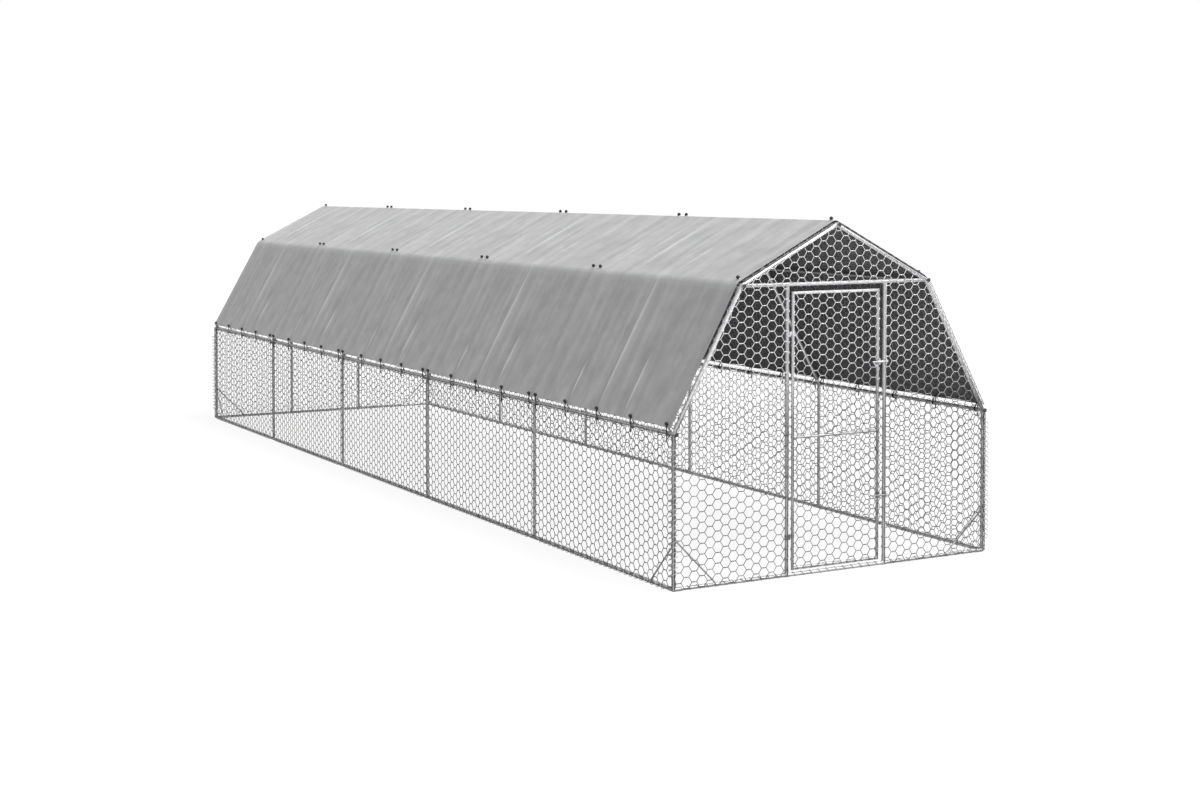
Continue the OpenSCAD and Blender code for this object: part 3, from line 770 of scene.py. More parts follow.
    def sheet(self) -> tuple[Shell, np.ndarray, np.ndarray]:
        """The sheet as a function of the distance round the section and along the run.

        Each point is the section's point + its normal times the sum of the wrinkles, a fold at both
        hems, a lift between the ties that fades up the slope, and a rise of the front edge over the
        cover before it. Near the hems points also move up the slope between the ties, which
        scallops the edge.

        Returns:
            The shell, the painted light of each point, and the flat place of each point.
        """
        sizes, lines = self.sizes, self.lines
        points, outs, run = self.section()
        y = self.columns()[None, :]
        s = run[:, None]
        side_share = np.minimum(s, run[-1] - s)
        low_length = np.linalg.norm(lines.knee - lines.eave)
        low_length = low_length - (self.foot - lines.eave_height) / lines.low_way[1]
        top_length = np.linalg.norm(lines.ridge - lines.knee)
        low_height, low_painted_light = self.wrinkles(side_share / low_length, y, LOW_STREAKS)
        top_height, top_painted_light = self.wrinkles((side_share - low_length) / top_length, y, TOP_STREAKS)
        pitch = (self.back - self.front - 2 * sizes.tie_inset) / (sizes.hem_ties - 1)
        past = np.clip(y - sizes.tie_inset, 0.0, pitch * (sizes.hem_ties - 1)) / pitch
        between = np.sin(math.pi * past) ** 2
        fade = np.exp(-(side_share / sizes.hem_fade) ** 2)
        over = np.clip(1.0 - y / sizes.lap_fade, 0.0, 1.0) if self.number > 1 else 0.0
        height = low_height + top_height + sizes.hem_lift * between * fade
        height = height + sizes.hem_rise * (side_share < sizes.hem) + sizes.lap_rise * over
        way = np.stack([outs[:, 1], -outs[:, 0]], axis=1) * np.where(run < run[-1] / 2, 1.0, -1.0)[:, None]
        scallop = sizes.hem_scallop * between * fade
        flat = points[:, None, :] + outs[:, None, :] * height[..., None]
        flat = flat + way[:, None, :] * scallop[..., None]
        place = np.stack([flat[..., 0], np.broadcast_to(self.front + y, height.shape), flat[..., 1]], axis=-1)
        rows, cols = height.shape
        index = np.arange(rows * cols).reshape(rows, cols)
        quads = np.stack([index[:-1, :-1], index[1:, :-1], index[1:, 1:], index[:-1, 1:]], axis=-1)
        spread = np.stack(np.broadcast_arrays(s, y), axis=-1)
        # painted highlight: a pale line along each knee
        glow = sizes.knee_glow * np.exp(-((side_share - low_length) / sizes.knee_glow_half) ** 2)
        shine = low_painted_light + top_painted_light + glow
        return Shell(place.reshape(-1, 3), quads.reshape(-1, 4)), shine.ravel(), spread.reshape(-1, 2)

    def build(self, outer: bpy.types.Material, inner: bpy.types.Material) -> bpy.types.Object:
        """Makes the sheet with its outer and inner faces and crisp edges.

        Args:
            outer: the finish of the face to the sky.
            inner: the finish of the face to the run.

        Returns:
            The sheet's piece.
        """
        shell, shine, spread = self.sheet()
        piece = shell.piece(f"roof_cover_{self.number}", Body.FRAME, Slot.COVER, outer)
        mesh = piece.data
        mesh.materials.append(inner)
        # painted light for the cover's colour: the wrinkles' painted highlight and painted shade and the
        # knees' painted highlight
        mesh.attributes.new("shine", "FLOAT", "POINT").data.foreach_set("value", shine.astype(np.float32))
        ends = np.zeros(2 * len(mesh.edges), dtype=np.int32)
        mesh.edges.foreach_get("vertices", ends)
        row, column = np.divmod(ends.reshape(-1, 2), len(self.columns()))
        borders = ((row, 0), (row, row.max()), (column, 0), (column, column.max()))
        rim = np.any([(line == border).all(axis=1) for line, border in borders], axis=0)
        mesh.attributes.new("sharp_edge", "BOOLEAN", "EDGE").data.foreach_set("value", rim)
        corner = np.zeros(len(mesh.loops), dtype=np.int32)
        mesh.loops.foreach_get("vertex_index", corner)
        layer = mesh.uv_layers.new(name="cloth")
        layer.uv.foreach_set("vector", spread[corner].astype(np.float32).ravel())
        wall = piece.modifiers.new("sheet", "SOLIDIFY")
        wall.thickness, wall.offset, wall.material_offset = self.sizes.thickness, -1.0, 1
        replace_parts(piece, self.node)
        _, _, run = self.section()
        return piece


@dataclass
class Ties:
    """The black ball ties that hold the covers to the rails, in metres."""

    lines: RunLines
    sizes: CoverSizes
    ball: float = 0.0134
    ball_rows: int = 8
    ball_sides: int = 12
    ball_shares: tuple[float, float] = (-0.94, 0.96)
    nub_sides: int = 6
    nub_shares: tuple[float, float, float] = (0.15, 0.90, 1.02)
    sink: float = 0.0006
    cord: float = 0.0033
    cord_sides: int = 5
    open_sides: int = 4
    strand: float = 0.0034
    loop: float = 0.0176
    knee_loop: float = 0.0155
    knee_ball: float = 0.036
    knee_root: float = 0.0150
    tail: float = 0.050
    tail_cord: float = 0.0044
    hem_ball: float = 0.048
    arc_points: int = 11
    stem_points: int = 3
    tail_points: int = 4
    eyelet: float = 0.0085
    eyelet_rise: float = 0.0010
    eyelet_sides: int = 12
    rim_points: int = 6
    rim_shares: tuple[float, float] = (0.4, 0.3)

    def hem_places(self, cover: RoofCover) -> np.ndarray:
        """The y of each tie along a cover's hem."""
        inset = cover.sizes.tie_inset
        return np.linspace(cover.front + inset, cover.back - inset, cover.sizes.hem_ties)

    def edge_places(self, cover: RoofCover) -> np.ndarray:
        """The y of the two ties at a cover's knee or ridge."""
        inset = cover.sizes.tie_inset
        return np.array([cover.front + inset, cover.back - inset])

    def loop_path(self, centre: np.ndarray, root: np.ndarray, radius: float) -> np.ndarray:
        """A cord's closed path in x and z: from its root, round the rail on its far side, and back.

        The two straight runs touch the circle round the rail at the cosine of radius over distance
        to either side of the line to the root.
        """
        line = root - centre
        far = np.linalg.norm(line)
        heading, open_half = math.atan2(line[1], line[0]), math.acos(radius / far)
        turn = np.linspace(heading + open_half, heading - open_half + FULL_TURN, self.arc_points)
        arc = centre + radius * np.stack([np.cos(turn), np.sin(turn)], axis=1)
        return np.concatenate([[root], arc])

    def strands(self, flat: np.ndarray, side: Side, places: np.ndarray, radius: float,
                closed: bool) -> Shell:
        """A path in x and z, made a cord at every place along the run."""
        path = np.stack([flat[:, 0] * side.value, np.zeros(len(flat)), flat[:, 1]], axis=1)
        shift = np.stack([np.zeros_like(places), places, np.zeros_like(places)], axis=1)
        sides = self.cord_sides if closed else self.open_sides
        return tubes(path[None] + shift[:, None], radius, sides, np.array([0.0, 1.0, 0.0]), closed=closed)

    def set_of(self, path: np.ndarray, ball: np.ndarray, foot: np.ndarray, side: Side,
               places: np.ndarray) -> tuple[Shell, Shell]:
        """The ties of one row, each with two strands of cord side by side.

        Args:
            path: the cord's closed path on the right side, as x and z.
            ball: the ball's middle there.
            foot: where the tie goes through the cover there.
            side: the side of the run.
            places: the y of each tie.

        Returns:
            The ties, and the eyelets under their balls.
        """
        both = np.concatenate([places - self.strand, places + self.strand])
        stem = np.linspace(ball, path[0], self.stem_points)
        cords = [self.strands(path, side, both, self.cord, True)]
        if np.linalg.norm(ball - path[0]) > self.ball:
            cords.append(self.strands(stem, side, both, self.cord, False))
        out = self.lines.on_side(unit(ball - foot), side)
        axes = np.array([np.cross(np.array([0.0, 1.0, 0.0]), out), np.array([0.0, 1.0, 0.0]), out])
        tilt = np.linspace(*self.ball_shares, self.ball_rows) * math.pi / 2
        sphere = turned(self.ball * np.stack([np.cos(tilt), np.sin(tilt)], axis=1), self.ball_sides)
        nub = prism(self.nub_sides, *(self.ball * share for share in self.nub_shares))
        frames = np.repeat(axes[None], len(places), axis=0)
        at = np.array([self.lines.on_side(ball, side, y) for y in places])
        under = np.array([self.lines.on_side(foot, side, y) for y in places])
        turn = np.arange(self.rim_points + 1) % self.rim_points * FULL_TURN / self.rim_points
        wide, high = self.rim_shares
        rim = np.stack([1.0 + wide * np.cos(turn), high * np.sin(turn)], axis=1)
        rings = turned(self.eyelet * rim, self.eyelet_sides)
        ties = Shell.joined([*cords, sphere.placed(at, frames), nub.placed(at, frames)])
        return ties, rings.placed(under, frames)

    def build(self, covers: list[RoofCover], black: bpy.types.Material, metal: bpy.types.Material) -> None:
        """Makes the ties of the hems, knees and ridge, and all the eyelets."""
        lines, sizes = self.lines, self.sizes
        low_out, top_out = lines.outward(lines.low_way), lines.outward(lines.top_way)
        stand = self.ball - self.sink
        seat = lines.eave + self.hem_ball * lines.low_way + (sizes.rise + sizes.hem_rise) * low_out
        ball = seat + stand * low_out
        hem = (self.loop_path(lines.rail, ball, self.loop), ball, seat + self.eyelet_rise * low_out)
        outside = lines.rail + np.array([self.loop, 0.0])
        tail = np.linspace(outside, outside - [0.0, self.tail], self.tail_points)
        seat = lines.knee + self.knee_ball * lines.top_way + sizes.rise * top_out
        root = seat + (self.knee_root - sizes.rise) * top_out
        path = self.loop_path(lines.knee, root, self.knee_loop)
        knee = (path, seat + stand * top_out, seat + self.eyelet_rise * top_out)
        sky = np.array([0.0, 1.0])
        seat = lines.ridge + sizes.skin(sizes.ridge_bend, math.acos(top_out[1])) * sky
        ball = seat + stand * sky
        ridge = (self.loop_path(lines.ridge, ball, self.loop), ball, seat + self.eyelet_rise * sky)
        hem_y = np.concatenate([self.hem_places(c) for c in covers])
        edge_y = np.concatenate([self.edge_places(c) for c in covers])
        eyelets = []
        knee_ties = []
        for side in Side:
            ties, rings = self.set_of(*hem, side, hem_y)
            ties = Shell.joined([ties, self.strands(tail, side, hem_y, self.tail_cord, False)])
            eyelets.append(rings)
            node = f"hem_ties_{side.word}"
            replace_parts(ties.piece(f"ball_{node}", Body.FRAME, Slot.TIE, black), node)
            ties, rings = self.set_of(*knee, side, edge_y)
            eyelets.append(rings)
            knee_ties.append(ties)
        piece = Shell.joined(knee_ties).piece("ball_knee_ties", Body.FRAME, Slot.TIE, black)
        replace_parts(piece, "knee_ties")
        ties, rings = self.set_of(*ridge, Side.RIGHT, edge_y)
        eyelets.append(rings)
        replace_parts(ties.piece("ball_ridge_ties", Body.FRAME, Slot.TIE, black), "ridge_ties")
        Shell.joined(eyelets).piece("eyelets", Body.FRAME, Slot.FITTING, metal)


@dataclass
class Fixings:
    """The hexagon screws that hold the tubes in their sockets, in metres."""

    lines: RunLines
    head: float = 0.0062
    head_height: float = 0.0042
    head_sides: int = 6
    washer: float = 0.0082
    washer_height: float = 0.0012
    washer_sides: int = 12
    sleeve: float = 0.0138
    grip: float = 0.040
    elbow_leg: float = 0.039

    def screw(self) -> Shell:
        """One screw: a round washer with a hexagon head on it, on the z axis."""
        plate = prism(self.washer_sides, self.washer, 0.0, self.washer_height)
        top = self.washer_height + self.head_height
        return Shell.joined([plate, prism(self.head_sides, self.head, self.washer_height, top)])

    def places(self) -> tuple[np.ndarray, np.ndarray]:
        """Where the screws sit and which way they face, on the inner side of every socket."""
        lines, grip = self.lines, self.grip
        low_in, top_in = -lines.outward(lines.low_way), -lines.outward(lines.top_way)
        inward = np.array([-1.0, 0.0])
        lowest, bend = np.array([lines.half_width, lines.sill + grip]), self.elbow_leg + grip / 2
        rows = [
            (lowest, inward), (lines.eave - [0.0, bend], inward), (lines.eave + bend * lines.low_way, low_in),
            (lines.knee - grip * lines.low_way, low_in), (lines.knee + grip * lines.top_way, top_in),
            (lines.ridge - grip * lines.top_way, top_in),
        ]
        spots, ways = [], []
        for side in Side:
            for flat, way in rows:
                for y in lines.arches:
                    spots.append(lines.on_side(flat + self.sleeve * way, side, y))
                    ways.append(lines.on_side(way, side))
        foot = np.array([lines.half_width, lines.sill])
        rails = [(foot, inward, s) for s in Side] + [(lines.rail, inward, s) for s in Side]
        rails += [(lines.knee, unit(low_in + top_in), s) for s in Side]
        rails.append((lines.ridge, np.array([0.0, -1.0]), Side.RIGHT))
        for flat, way, side in rails:
            for y in np.concatenate([lines.arches[:-1] + grip, lines.arches[1:] - grip]):
                spots.append(lines.on_side(flat + self.sleeve * way, side, y))
                ways.append(lines.on_side(way, side))
        return np.array(spots), np.array(ways)

    def build(self, finish: bpy.types.Material) -> bpy.types.Object:
        """Makes all the screws as one piece."""
        spots, ways = self.places()
        first = unit(np.cross(ways, [0.0, 1.0, 0.0]))
        frames = np.stack([first, np.cross(ways, first), ways], axis=1)
        return self.screw().placed(spots, frames).piece("socket_screws", Body.FRAME, Slot.FITTING, finish)


class NodeBoard:
    """Adds and links the nodes of one node tree."""

    def __init__(self, tree: bpy.types.NodeTree) -> None:
        """Starts from a tree, which it empties."""
        self.tree = tree
        tree.nodes.clear()

    def add(self, kind: str, settings: dict | None = None, **values: object) -> bpy.types.Node:
        """Adds a node.

        Args:
            kind: the node's type.
            settings: its properties by name.
            values: its inputs by name, with spaces as underscores, as numbers or as sockets to link.

        Returns:
            The node.
        """
        node = self.tree.nodes.new(kind)
        for key, value in (settings or {}).items():
            setattr(node, key, value)
        self.give(node, **values)
        return node

    def give(self, node: bpy.types.Node, **values: object) -> None:
        """Sets or links a node's inputs by name, with spaces as underscores."""
        for key, value in values.items():
            self.feed(node.inputs[key.replace("_", " ")], value)

    def feed(self, socket: bpy.types.NodeSocket, value: object) -> None:
        """Links a socket to another, or sets its value."""
        if isinstance(value, bpy.types.NodeSocket):
            self.tree.links.new(value, socket)
        else:
            socket.default_value = value

    def result(self, operation: str, first: object, second: object = 0.0) -> bpy.types.NodeSocket:
        """The result of a Math node on two values or sockets."""
        node = self.add("ShaderNodeMath", {"operation": operation})
        self.feed(node.inputs[0], first)
        self.feed(node.inputs[1], second)
        return node.outputs[0]

    def ranged(self, value: object, low: object, high: object, start: object = 0.0,
               end: object = 1.0) -> bpy.types.NodeSocket:
        """A value moved from the range between start and end to that between low and high."""
        node = self.add("ShaderNodeMapRange", Value=value, From_Min=start, From_Max=end,
                        To_Min=low, To_Max=high)
        return node.outputs[0]

    def noise(self, place: bpy.types.NodeSocket, scale: object, detail: float,
              roughness: float = 0.5) -> bpy.types.NodeSocket:
        """A cloudy noise from 0 to 1."""
        node = self.add("ShaderNodeTexNoise", Vector=place, Scale=scale, Detail=detail, Roughness=roughness)
        return node.outputs["Fac"]

    def bump(self, height: object, strength: float, depth: float) -> bpy.types.NodeSocket:
        """The normal of a fine relief."""
        return self.add("ShaderNodeBump", Height=height, Strength=strength, Distance=depth).outputs[0]

    def mixed(self, factor: object, first: object, second: object) -> bpy.types.NodeSocket:
        """A colour between two, by a factor."""
        node = self.add("ShaderNodeMix", {"data_type": "RGBA"})
        for index, value in ((0, factor), (6, first), (7, second)):
            self.feed(node.inputs[index], value)
        return node.outputs[2]


@dataclass
class SharedEffects:
    """Node groups that several finishes use, each built once."""

    cloud_detail: float = 4.0
    cloud_share: float = 0.5
    blot_detail: float = 6.0
    blot_range: tuple[float, float] = (0.40, 0.70)
    blot_least: float = 0.65
    spangle: bpy.types.NodeTree = field(init=False)
    weather: bpy.types.NodeTree = field(init=False)

    def __post_init__(self) -> None:
        """Builds the groups."""
        self.spangle = self.make_spangle()
        self.weather = self.make_weather()

    @staticmethod
    def start(name: str, inputs: dict[str, float],
              outputs: tuple[str, ...]) -> tuple[bpy.types.NodeTree, NodeBoard]:
        """A new group with float inputs and outputs.

        Args:
            name: the group's name.
            inputs: each input's name and usual value.
            outputs: the outputs' names.

        Returns:
            The group and its board.
        """
        tree = bpy.data.node_groups.new(name, "ShaderNodeTree")
        kind = {"socket_type": "NodeSocketFloat"}
        for word, value in inputs.items():
            tree.interface.new_socket(name=word, in_out="INPUT", **kind).default_value = value
        for word in outputs:
            tree.interface.new_socket(name=word, in_out="OUTPUT", **kind)
        return tree, NodeBoard(tree)

    def make_spangle(self) -> bpy.types.NodeTree:
        """Zinc spangle: flat crystal cells of different tone over slow cloudy patches."""
        tree, board = self.start("spangle", {"Scale": 160.0, "Cloud": 6.0}, ("Tone", "Relief"))
        given = board.add("NodeGroupInput")
        place = board.add("ShaderNodeTexCoord").outputs["Object"]
        cells = board.add("ShaderNodeTexVoronoi", Vector=place, Scale=given.outputs["Scale"])
        cloud = board.noise(place, given.outputs["Cloud"], self.cloud_detail)
        grey = board.add("ShaderNodeSeparateColor", Color=cells.outputs["Color"])
        crystal = board.result("MULTIPLY", grey.outputs[0], 1.0 - self.cloud_share)
        tone = board.result("ADD", crystal, board.result("MULTIPLY", cloud, self.cloud_share))
        board.add("NodeGroupOutput", Tone=tone, Relief=cells.outputs["Distance"])
        return tree

    def make_weather(self) -> bpy.types.NodeTree:
        """A blotted mask that is full below one height and gone above another."""
        tree, board = self.start("weather", {"Scale": 9.0, "Foot": 1.10, "Head": 1.50}, ("Mask",))
        given = board.add("NodeGroupInput")
        place = board.add("ShaderNodeTexCoord").outputs["Object"]
        blots = board.noise(place, given.outputs["Scale"], self.blot_detail)
        height = board.add("ShaderNodeSeparateXYZ", Vector=place).outputs["Z"]
        low = board.ranged(height, 1.0, 0.0, given.outputs["Foot"], given.outputs["Head"])
        patchy = board.ranged(blots, 1.0, self.blot_least, *self.blot_range)
        board.add("NodeGroupOutput", Mask=board.result("MULTIPLY", patchy, low))
        return tree


@dataclass(frozen=True)
class Finish:
    """What every finish has: a name and the two tones that its colour runs between."""

    name: str
    dark: tuple[float, float, float]
    light: tuple[float, float, float]
    roughness: float

    def start(self) -> tuple[bpy.types.Material, NodeBoard, bpy.types.Node]:
        """A new material, its board and its shader, linked to the output."""
        material = bpy.data.materials.new(self.name)
        material.use_nodes = True
        board = NodeBoard(material.node_tree)
        shader = board.add("ShaderNodeBsdfPrincipled")
        board.add("ShaderNodeOutputMaterial", Surface=shader.outputs[0])
        return material, board, shader

    @staticmethod
    def tone(colour: tuple[float, float, float]) -> tuple[float, float, float, float]:
        """A colour with its alpha."""
        return (*colour, 1.0)


@dataclass(frozen=True)
class Galvanised(Finish):
    """Galvanised or zinc plated steel, darker towards the ground, with painted shade on its sides and
    undersides.
    """

    # the darker tone: laid on towards the ground, and painted shade on the sides and undersides
    dull: tuple[float, float, float]
    metallic: float = 0.75
    spangle: float = 160.0
    relief: float = 0.0002
    relief_strength: float = 0.25
    foot: float = 1.06
    head: float = 1.30
    # painted light on the tops: how much of the darker tone they lose, and the range of facing over which it
    # fades
    washed: float = 0.85
    washed_range: tuple[float, float] = (-0.6, 0.7)
    rough_spread: tuple[float, float] = (0.10, -0.08)

    def make(self, effects: SharedEffects) -> bpy.types.Material:
        """Builds the material: spangled tone, darker in the lower part, painted shade on sides and undersides
        that leaves the tops lighter, slight relief.
        """
        material, board, shader = self.start()
        cells = board.add("ShaderNodeGroup", {"node_tree": effects.spangle}, Scale=self.spangle)
        darkening_and_painted_light = board.add("ShaderNodeGroup", {"node_tree": effects.weather}, Foot=self.foot, Head=self.head)
        facing = board.add("ShaderNodeNewGeometry").outputs["Normal"]
        upward = board.add("ShaderNodeSeparateXYZ", Vector=facing).outputs["Z"]
        # painted shade: faces pointing down keep all of the darker tone and faces pointing up lose most of it
        kept = board.ranged(upward, 1.0, 1.0 - self.washed, *self.washed_range)
        mask = board.result("MULTIPLY", darkening_and_painted_light.outputs["Mask"], kept)
        base = board.mixed(cells.outputs["Tone"], self.tone(self.dark), self.tone(self.light))
        rough = board.ranged(cells.outputs["Tone"], *(self.roughness + step for step in self.rough_spread))
        board.give(shader, Metallic=self.metallic, Roughness=rough,
                   Base_Color=board.mixed(mask, base, self.tone(self.dull)),
                   Normal=board.bump(cells.outputs["Relief"], self.relief_strength, self.relief))
        return material


@dataclass(frozen=True)
class CoatedCloth(Finish):
    """Woven sheet with a coating, whose flat place is in its UV map."""

    pitch: float = 0.0035
    weave_strength: float = 0.2
    weave_depth: float = 0.0003
    # the colours of the painted highlight and the painted shade, and how much of each is mixed in
    shine: tuple[float, float, float] = (0.80, 0.81, 0.82)
    shine_depth: float = 1.0
    shade: tuple[float, float, float] = (0.30, 0.30, 0.302)
    shade_depth: float = 1.0
    cloud_scale: float = 5.0
    cloud_detail: float = 6.0
    cloud_roughness: float = 0.62
    drawn_stretch: tuple[float, float, float] = (0.35, 5.0, 1.0)
    drawn_scale: float = 1.6
    drawn_detail: float = 3.0
    tone_range: tuple[float, float] = (0.38, 0.62)
    rough_spread: float = 0.12

    def make(self) -> bpy.types.Material:
        """Builds the material: cloudy tone, streaks down the slope, a painted highlight and painted shade
        along the wrinkles and knees, and a fine weave.
        """
        material, board, shader = self.start()
        flat = board.add("ShaderNodeUVMap", {"uv_map": "cloth"}).outputs[0]
        cloud = board.noise(flat, self.cloud_scale, self.cloud_detail, self.cloud_roughness)
        stretch = board.add("ShaderNodeMapping", Vector=flat, Scale=self.drawn_stretch)
        drawn = board.noise(stretch.outputs[0], self.drawn_scale, self.drawn_detail)
        mean = board.result("MULTIPLY", board.result("ADD", cloud, drawn), 0.5)
        tone = board.ranged(mean, 0.0, 1.0, *self.tone_range)
        base = board.mixed(tone, self.tone(self.dark), self.tone(self.light))
        # painted light from the sheet: above 0 it mixes in the painted highlight colour, below 0 the painted
        # shade colour
        darkening_and_painted_light = board.add("ShaderNodeAttribute", {"attribute_name": "shine"}).outputs["Fac"]
        pale = board.result("MULTIPLY", darkening_and_painted_light, self.shine_depth)
        painted_shade_share = board.result("MULTIPLY", darkening_and_painted_light, -self.shade_depth)
        lit = board.mixed(pale, base, self.tone(self.shine))
        rough = board.ranged(cloud, self.roughness - self.rough_spread, self.roughness + self.rough_spread)
        split = board.add("ShaderNodeSeparateXYZ", Vector=flat)
        turns = [board.result("MULTIPLY", split.outputs[axis], FULL_TURN / self.pitch) for axis in "XY"]
        cloth = board.result("MULTIPLY", *(board.result("SINE", turn) for turn in turns))
        board.give(shader, Roughness=rough, Base_Color=board.mixed(painted_shade_share, lit, self.tone(self.shade)),
                   Normal=board.bump(cloth, self.weave_strength, self.weave_depth))
        return material


@dataclass(frozen=True)
class BlackMoulding(Finish):
    """Black rubber or moulded plastic."""

    grain: float = 900.0
    grain_detail: float = 2.0
    grain_strength: float = 0.3
    grain_depth: float = 0.0002
    dust_scale: float = 60.0
    dust_foot: float = 4.0
    dust_head: float = 5.0
    rough_spread: float = 0.1

    def make(self, effects: SharedEffects) -> bpy.types.Material:
        """Builds the material: a fine grain, with dusty blots at every height of the run."""
        material, board, shader = self.start()
        place = board.add("ShaderNodeTexCoord").outputs["Object"]
        grain = board.noise(place, self.grain, self.grain_detail)
        dusty = board.add("ShaderNodeGroup", {"node_tree": effects.weather}, Scale=self.dust_scale,
                          Foot=self.dust_foot, Head=self.dust_head).outputs["Mask"]
        rough = board.ranged(grain, self.roughness - self.rough_spread, self.roughness + self.rough_spread)
        board.give(shader, Roughness=rough,
                   Base_Color=board.mixed(dusty, self.tone(self.light), self.tone(self.dark)),
                   Normal=board.bump(grain, self.grain_strength, self.grain_depth))
        return material


class Finishes:
    """Every material of the run."""

    def __init__(self) -> None:
        """Builds the materials."""
        effects = SharedEffects()
        self.tube = Galvanised("galvanised_tube", (0.62, 0.62, 0.63), (0.84, 0.84, 0.85), 0.42,
                               dull=(0.19, 0.19, 0.192), metallic=0.6).make(effects)
        # painted shade: a darker copy of the tube finish for the rails under the covers
        self.covered = Galvanised("covered_tube", (0.30, 0.30, 0.305), (0.42, 0.42, 0.425), 0.5,
                                  dull=(0.19, 0.19, 0.192), metallic=0.5).make(effects)
        self.joint = Galvanised("galvanised_joint", (0.56, 0.56, 0.57), (0.76, 0.76, 0.77), 0.46,
                                dull=(0.17, 0.17, 0.172), metallic=0.6).make(effects)
        self.wire = Galvanised("galvanised_wire", (0.66, 0.66, 0.67), (0.88, 0.88, 0.89), 0.48,
                               dull=(0.10, 0.10, 0.102), metallic=0.4, spangle=300.0,
                               foot=1.10, head=1.50, washed=0.0).make(effects)
        # painted shade: a darker copy of the wire finish for the nets under the covers
        self.in_painted_shade = Galvanised("sheltered_wire", (0.28, 0.28, 0.285), (0.42, 0.42, 0.425), 0.5,
                                    dull=(0.10, 0.10, 0.102), metallic=0.4, spangle=300.0,
                                    foot=1.10, head=1.50, washed=0.0).make(effects)
        self.loop = Galvanised("bright_wire", (0.66, 0.66, 0.67), (0.88, 0.88, 0.89), 0.45,
                               dull=(0.25, 0.25, 0.253), metallic=0.4, spangle=300.0).make(effects)
        self.fitting = Galvanised("zinc_plate", (0.52, 0.52, 0.53), (0.70, 0.70, 0.71), 0.36,
                                  dull=(0.14, 0.14, 0.142), spangle=420.0, washed=0.3).make(effects)
        # the outside carries the painted highlight and painted shade of the wrinkles and knees; the inside
        # has none
        self.cover = CoatedCloth("cover_outside", (0.435, 0.435, 0.438), (0.64, 0.64, 0.643), 0.55).make()
        self.lining = CoatedCloth("cover_inside", (0.135, 0.135, 0.137), (0.195, 0.195, 0.197), 0.7,
                                  shine_depth=0.0, shade_depth=0.0).make()
        self.tie = BlackMoulding("elastic_black", (0.012, 0.012, 0.012), (0.035, 0.035, 0.035),
                                 0.6).make(effects)
        self.plug = BlackMoulding("plug_black", (0.018, 0.018, 0.019), (0.05, 0.05, 0.05),
                                  0.5).make(effects)

    def dress(self, nodes: dict[str, bpy.types.Object], subparts: list[dict]) -> None:
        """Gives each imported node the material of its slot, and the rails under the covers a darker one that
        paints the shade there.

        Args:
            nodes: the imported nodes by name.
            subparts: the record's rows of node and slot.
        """
        by_slot = {"tube": self.tube, "joint": self.joint, "netting": self.wire, "cover": self.cover,
                   "tie": self.tie, "plug": self.plug, "fitting": self.fitting}
        under_covers = ("knee_rails", "ridge_rails")
        for row in subparts:
            materials = nodes[row["node"]].data.materials
            materials.clear()
            # painted shade: the knee and ridge rails under the covers take the darker tube finish
            in_painted_shade = row["node"].startswith(under_covers)
            materials.append(self.covered if in_painted_shade else by_slot[row["material_slot"]])
            LOG.info("%s: finished as %s", row["node"], row["material_slot"])


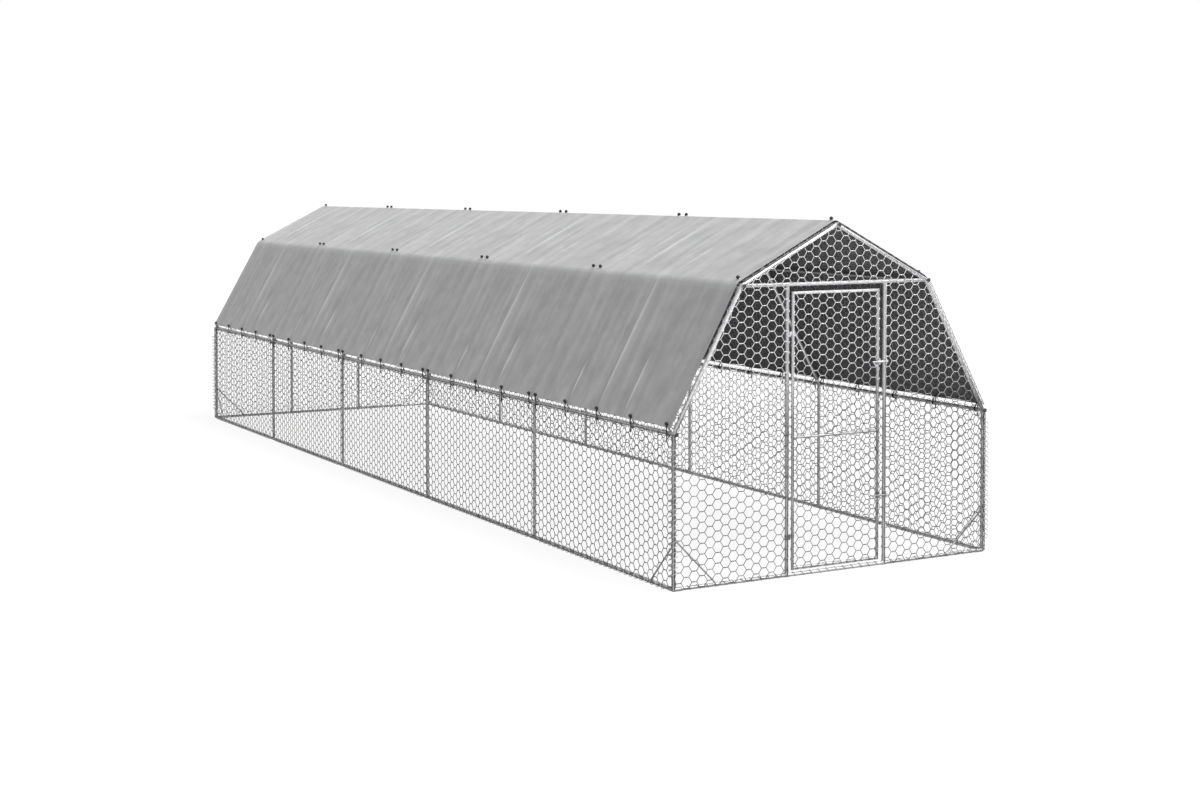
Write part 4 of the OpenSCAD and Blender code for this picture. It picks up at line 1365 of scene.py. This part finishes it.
@dataclass
class Studio:
    """The floor, the light and the camera."""

    camera_place: tuple[float, float, float] = (-7.406, -14.883, 2.667)
    camera_turn: float = math.radians(29.242)
    camera_dip: float = math.radians(1.740)
    lens: float = 53.268
    frame_width: float = 1200.0
    frame_drop: float = -160.0
    sensor: float = 36.0
    floor_half: float = 60.0
    floor_gap: float = 0.0005
    floor_tone: float = 0.38
    floor_shade: float = 0.10
    floor_glow: float = 0.93
    sun_strength: float = 2.7
    sun_angle: float = math.radians(24.0)
    sun_from: tuple[float, float, float] = (0.28, -0.34, 0.90)
    fill_strength: float = 1.3
    fill_angle: float = math.radians(40.0)
    fill_from: tuple[float, float, float] = (0.35, -0.93, 0.10)
    sky: float = 0.28

    @staticmethod
    def seen(board: NodeBoard) -> bpy.types.NodeSocket:
        """1 for rays from the camera, from gloss or through glass, else 0."""
        path = board.add("ShaderNodeLightPath")
        gloss = board.result("MAXIMUM", path.outputs["Is Glossy Ray"], path.outputs["Is Transmission Ray"])
        return board.result("MAXIMUM", path.outputs["Is Camera Ray"], gloss)

    def build_floor(self) -> None:
        """A wide pale floor that shows white and keeps a light shadow."""
        reach = self.floor_half
        around = ((-reach, -reach), (reach, -reach), (reach, reach), (-reach, reach))
        mesh = bpy.data.meshes.new("floor")
        mesh.from_pydata([(x, y, -self.floor_gap) for x, y in around], [], [range(len(around))])
        material = bpy.data.materials.new("floor")
        material.use_nodes = True
        board = NodeBoard(material.node_tree)
        matt, shade = (board.add("ShaderNodeBsdfDiffuse", Color=(grey, grey, grey, 1.0))
                       for grey in (self.floor_tone, self.floor_shade))
        glow = board.add("ShaderNodeEmission", Color=(1.0, 1.0, 1.0, 1.0), Strength=self.floor_glow)
        white = board.add("ShaderNodeAddShader")
        board.feed(white.inputs[0], shade.outputs[0])
        board.feed(white.inputs[1], glow.outputs[0])
        both = board.add("ShaderNodeMixShader", Fac=self.seen(board))
        board.feed(both.inputs[1], matt.outputs[0])
        board.feed(both.inputs[2], white.outputs[0])
        board.add("ShaderNodeOutputMaterial", Surface=both.outputs[0])
        mesh.materials.append(material)
        floor = bpy.data.objects.new("floor", mesh)
        bpy.context.scene.collection.objects.link(floor)

    def build_light(self) -> None:
        """A soft sun from above the front, a fill on the front end, and an even sky that shows white."""
        suns = {
            "sun": (self.sun_strength, self.sun_angle, self.sun_from),
            "fill": (self.fill_strength, self.fill_angle, self.fill_from),
        }
        for name, (strength, angle, source) in suns.items():
            lamp = bpy.data.lights.new(name, "SUN")
            lamp.energy, lamp.angle = strength, angle
            sun = bpy.data.objects.new(name, lamp)
            sun.rotation_mode = "QUATERNION"
            sun.rotation_quaternion = Vector(source).to_track_quat("Z", "Y")
            bpy.context.scene.collection.objects.link(sun)
        world = bpy.data.worlds.new("studio")
        world.use_nodes = True
        board = NodeBoard(world.node_tree)
        strength = board.ranged(self.seen(board), self.sky, 1.0)
        sky = board.add("ShaderNodeBackground", Color=(1.0, 1.0, 1.0, 1.0), Strength=strength)
        board.add("ShaderNodeOutputWorld", Surface=sky.outputs[0])
        bpy.context.scene.world = world
        bpy.context.scene.view_settings.view_transform = "Standard"

    def build_camera(self) -> None:
        """The camera at the photograph's place and angle."""
        data = bpy.data.cameras.new("camera")
        data.sensor_fit, data.sensor_width, data.lens = "HORIZONTAL", self.sensor, self.lens
        data.shift_y = self.frame_drop / self.frame_width
        camera = bpy.data.objects.new("camera", data)
        camera.location = self.camera_place
        camera.rotation_euler = (math.pi / 2 - self.camera_dip, 0.0, -self.camera_turn)
        bpy.context.scene.collection.objects.link(camera)
        bpy.context.scene.camera = camera

    def build(self) -> None:
        """Makes the floor, the light and the camera."""
        self.build_floor()
        self.build_light()
        self.build_camera()


def main() -> None:
    """Builds the sub-assemblies in order."""
    logging.basicConfig(level=TRACE_LEVEL, format="%(message)s")
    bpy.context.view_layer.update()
    Studio().build()
    finishes = Finishes()
    finishes.dress(frame["nodes"], frame["record"]["subparts"])
    lines = RunLines()
    Netting(lines).build(finishes.wire, finishes.in_painted_shade, finishes.loop)
    sizes = CoverSizes()
    covers = [RoofCover(lines, sizes, number) for number in range(1, ARCHES)]
    for cover in covers:
        cover.build(finishes.cover, finishes.lining)
    Ties(lines, sizes).build(covers, finishes.tie, finishes.fitting)
    Fixings(lines).build(finishes.fitting)


if __name__ == "__main__":
    main()
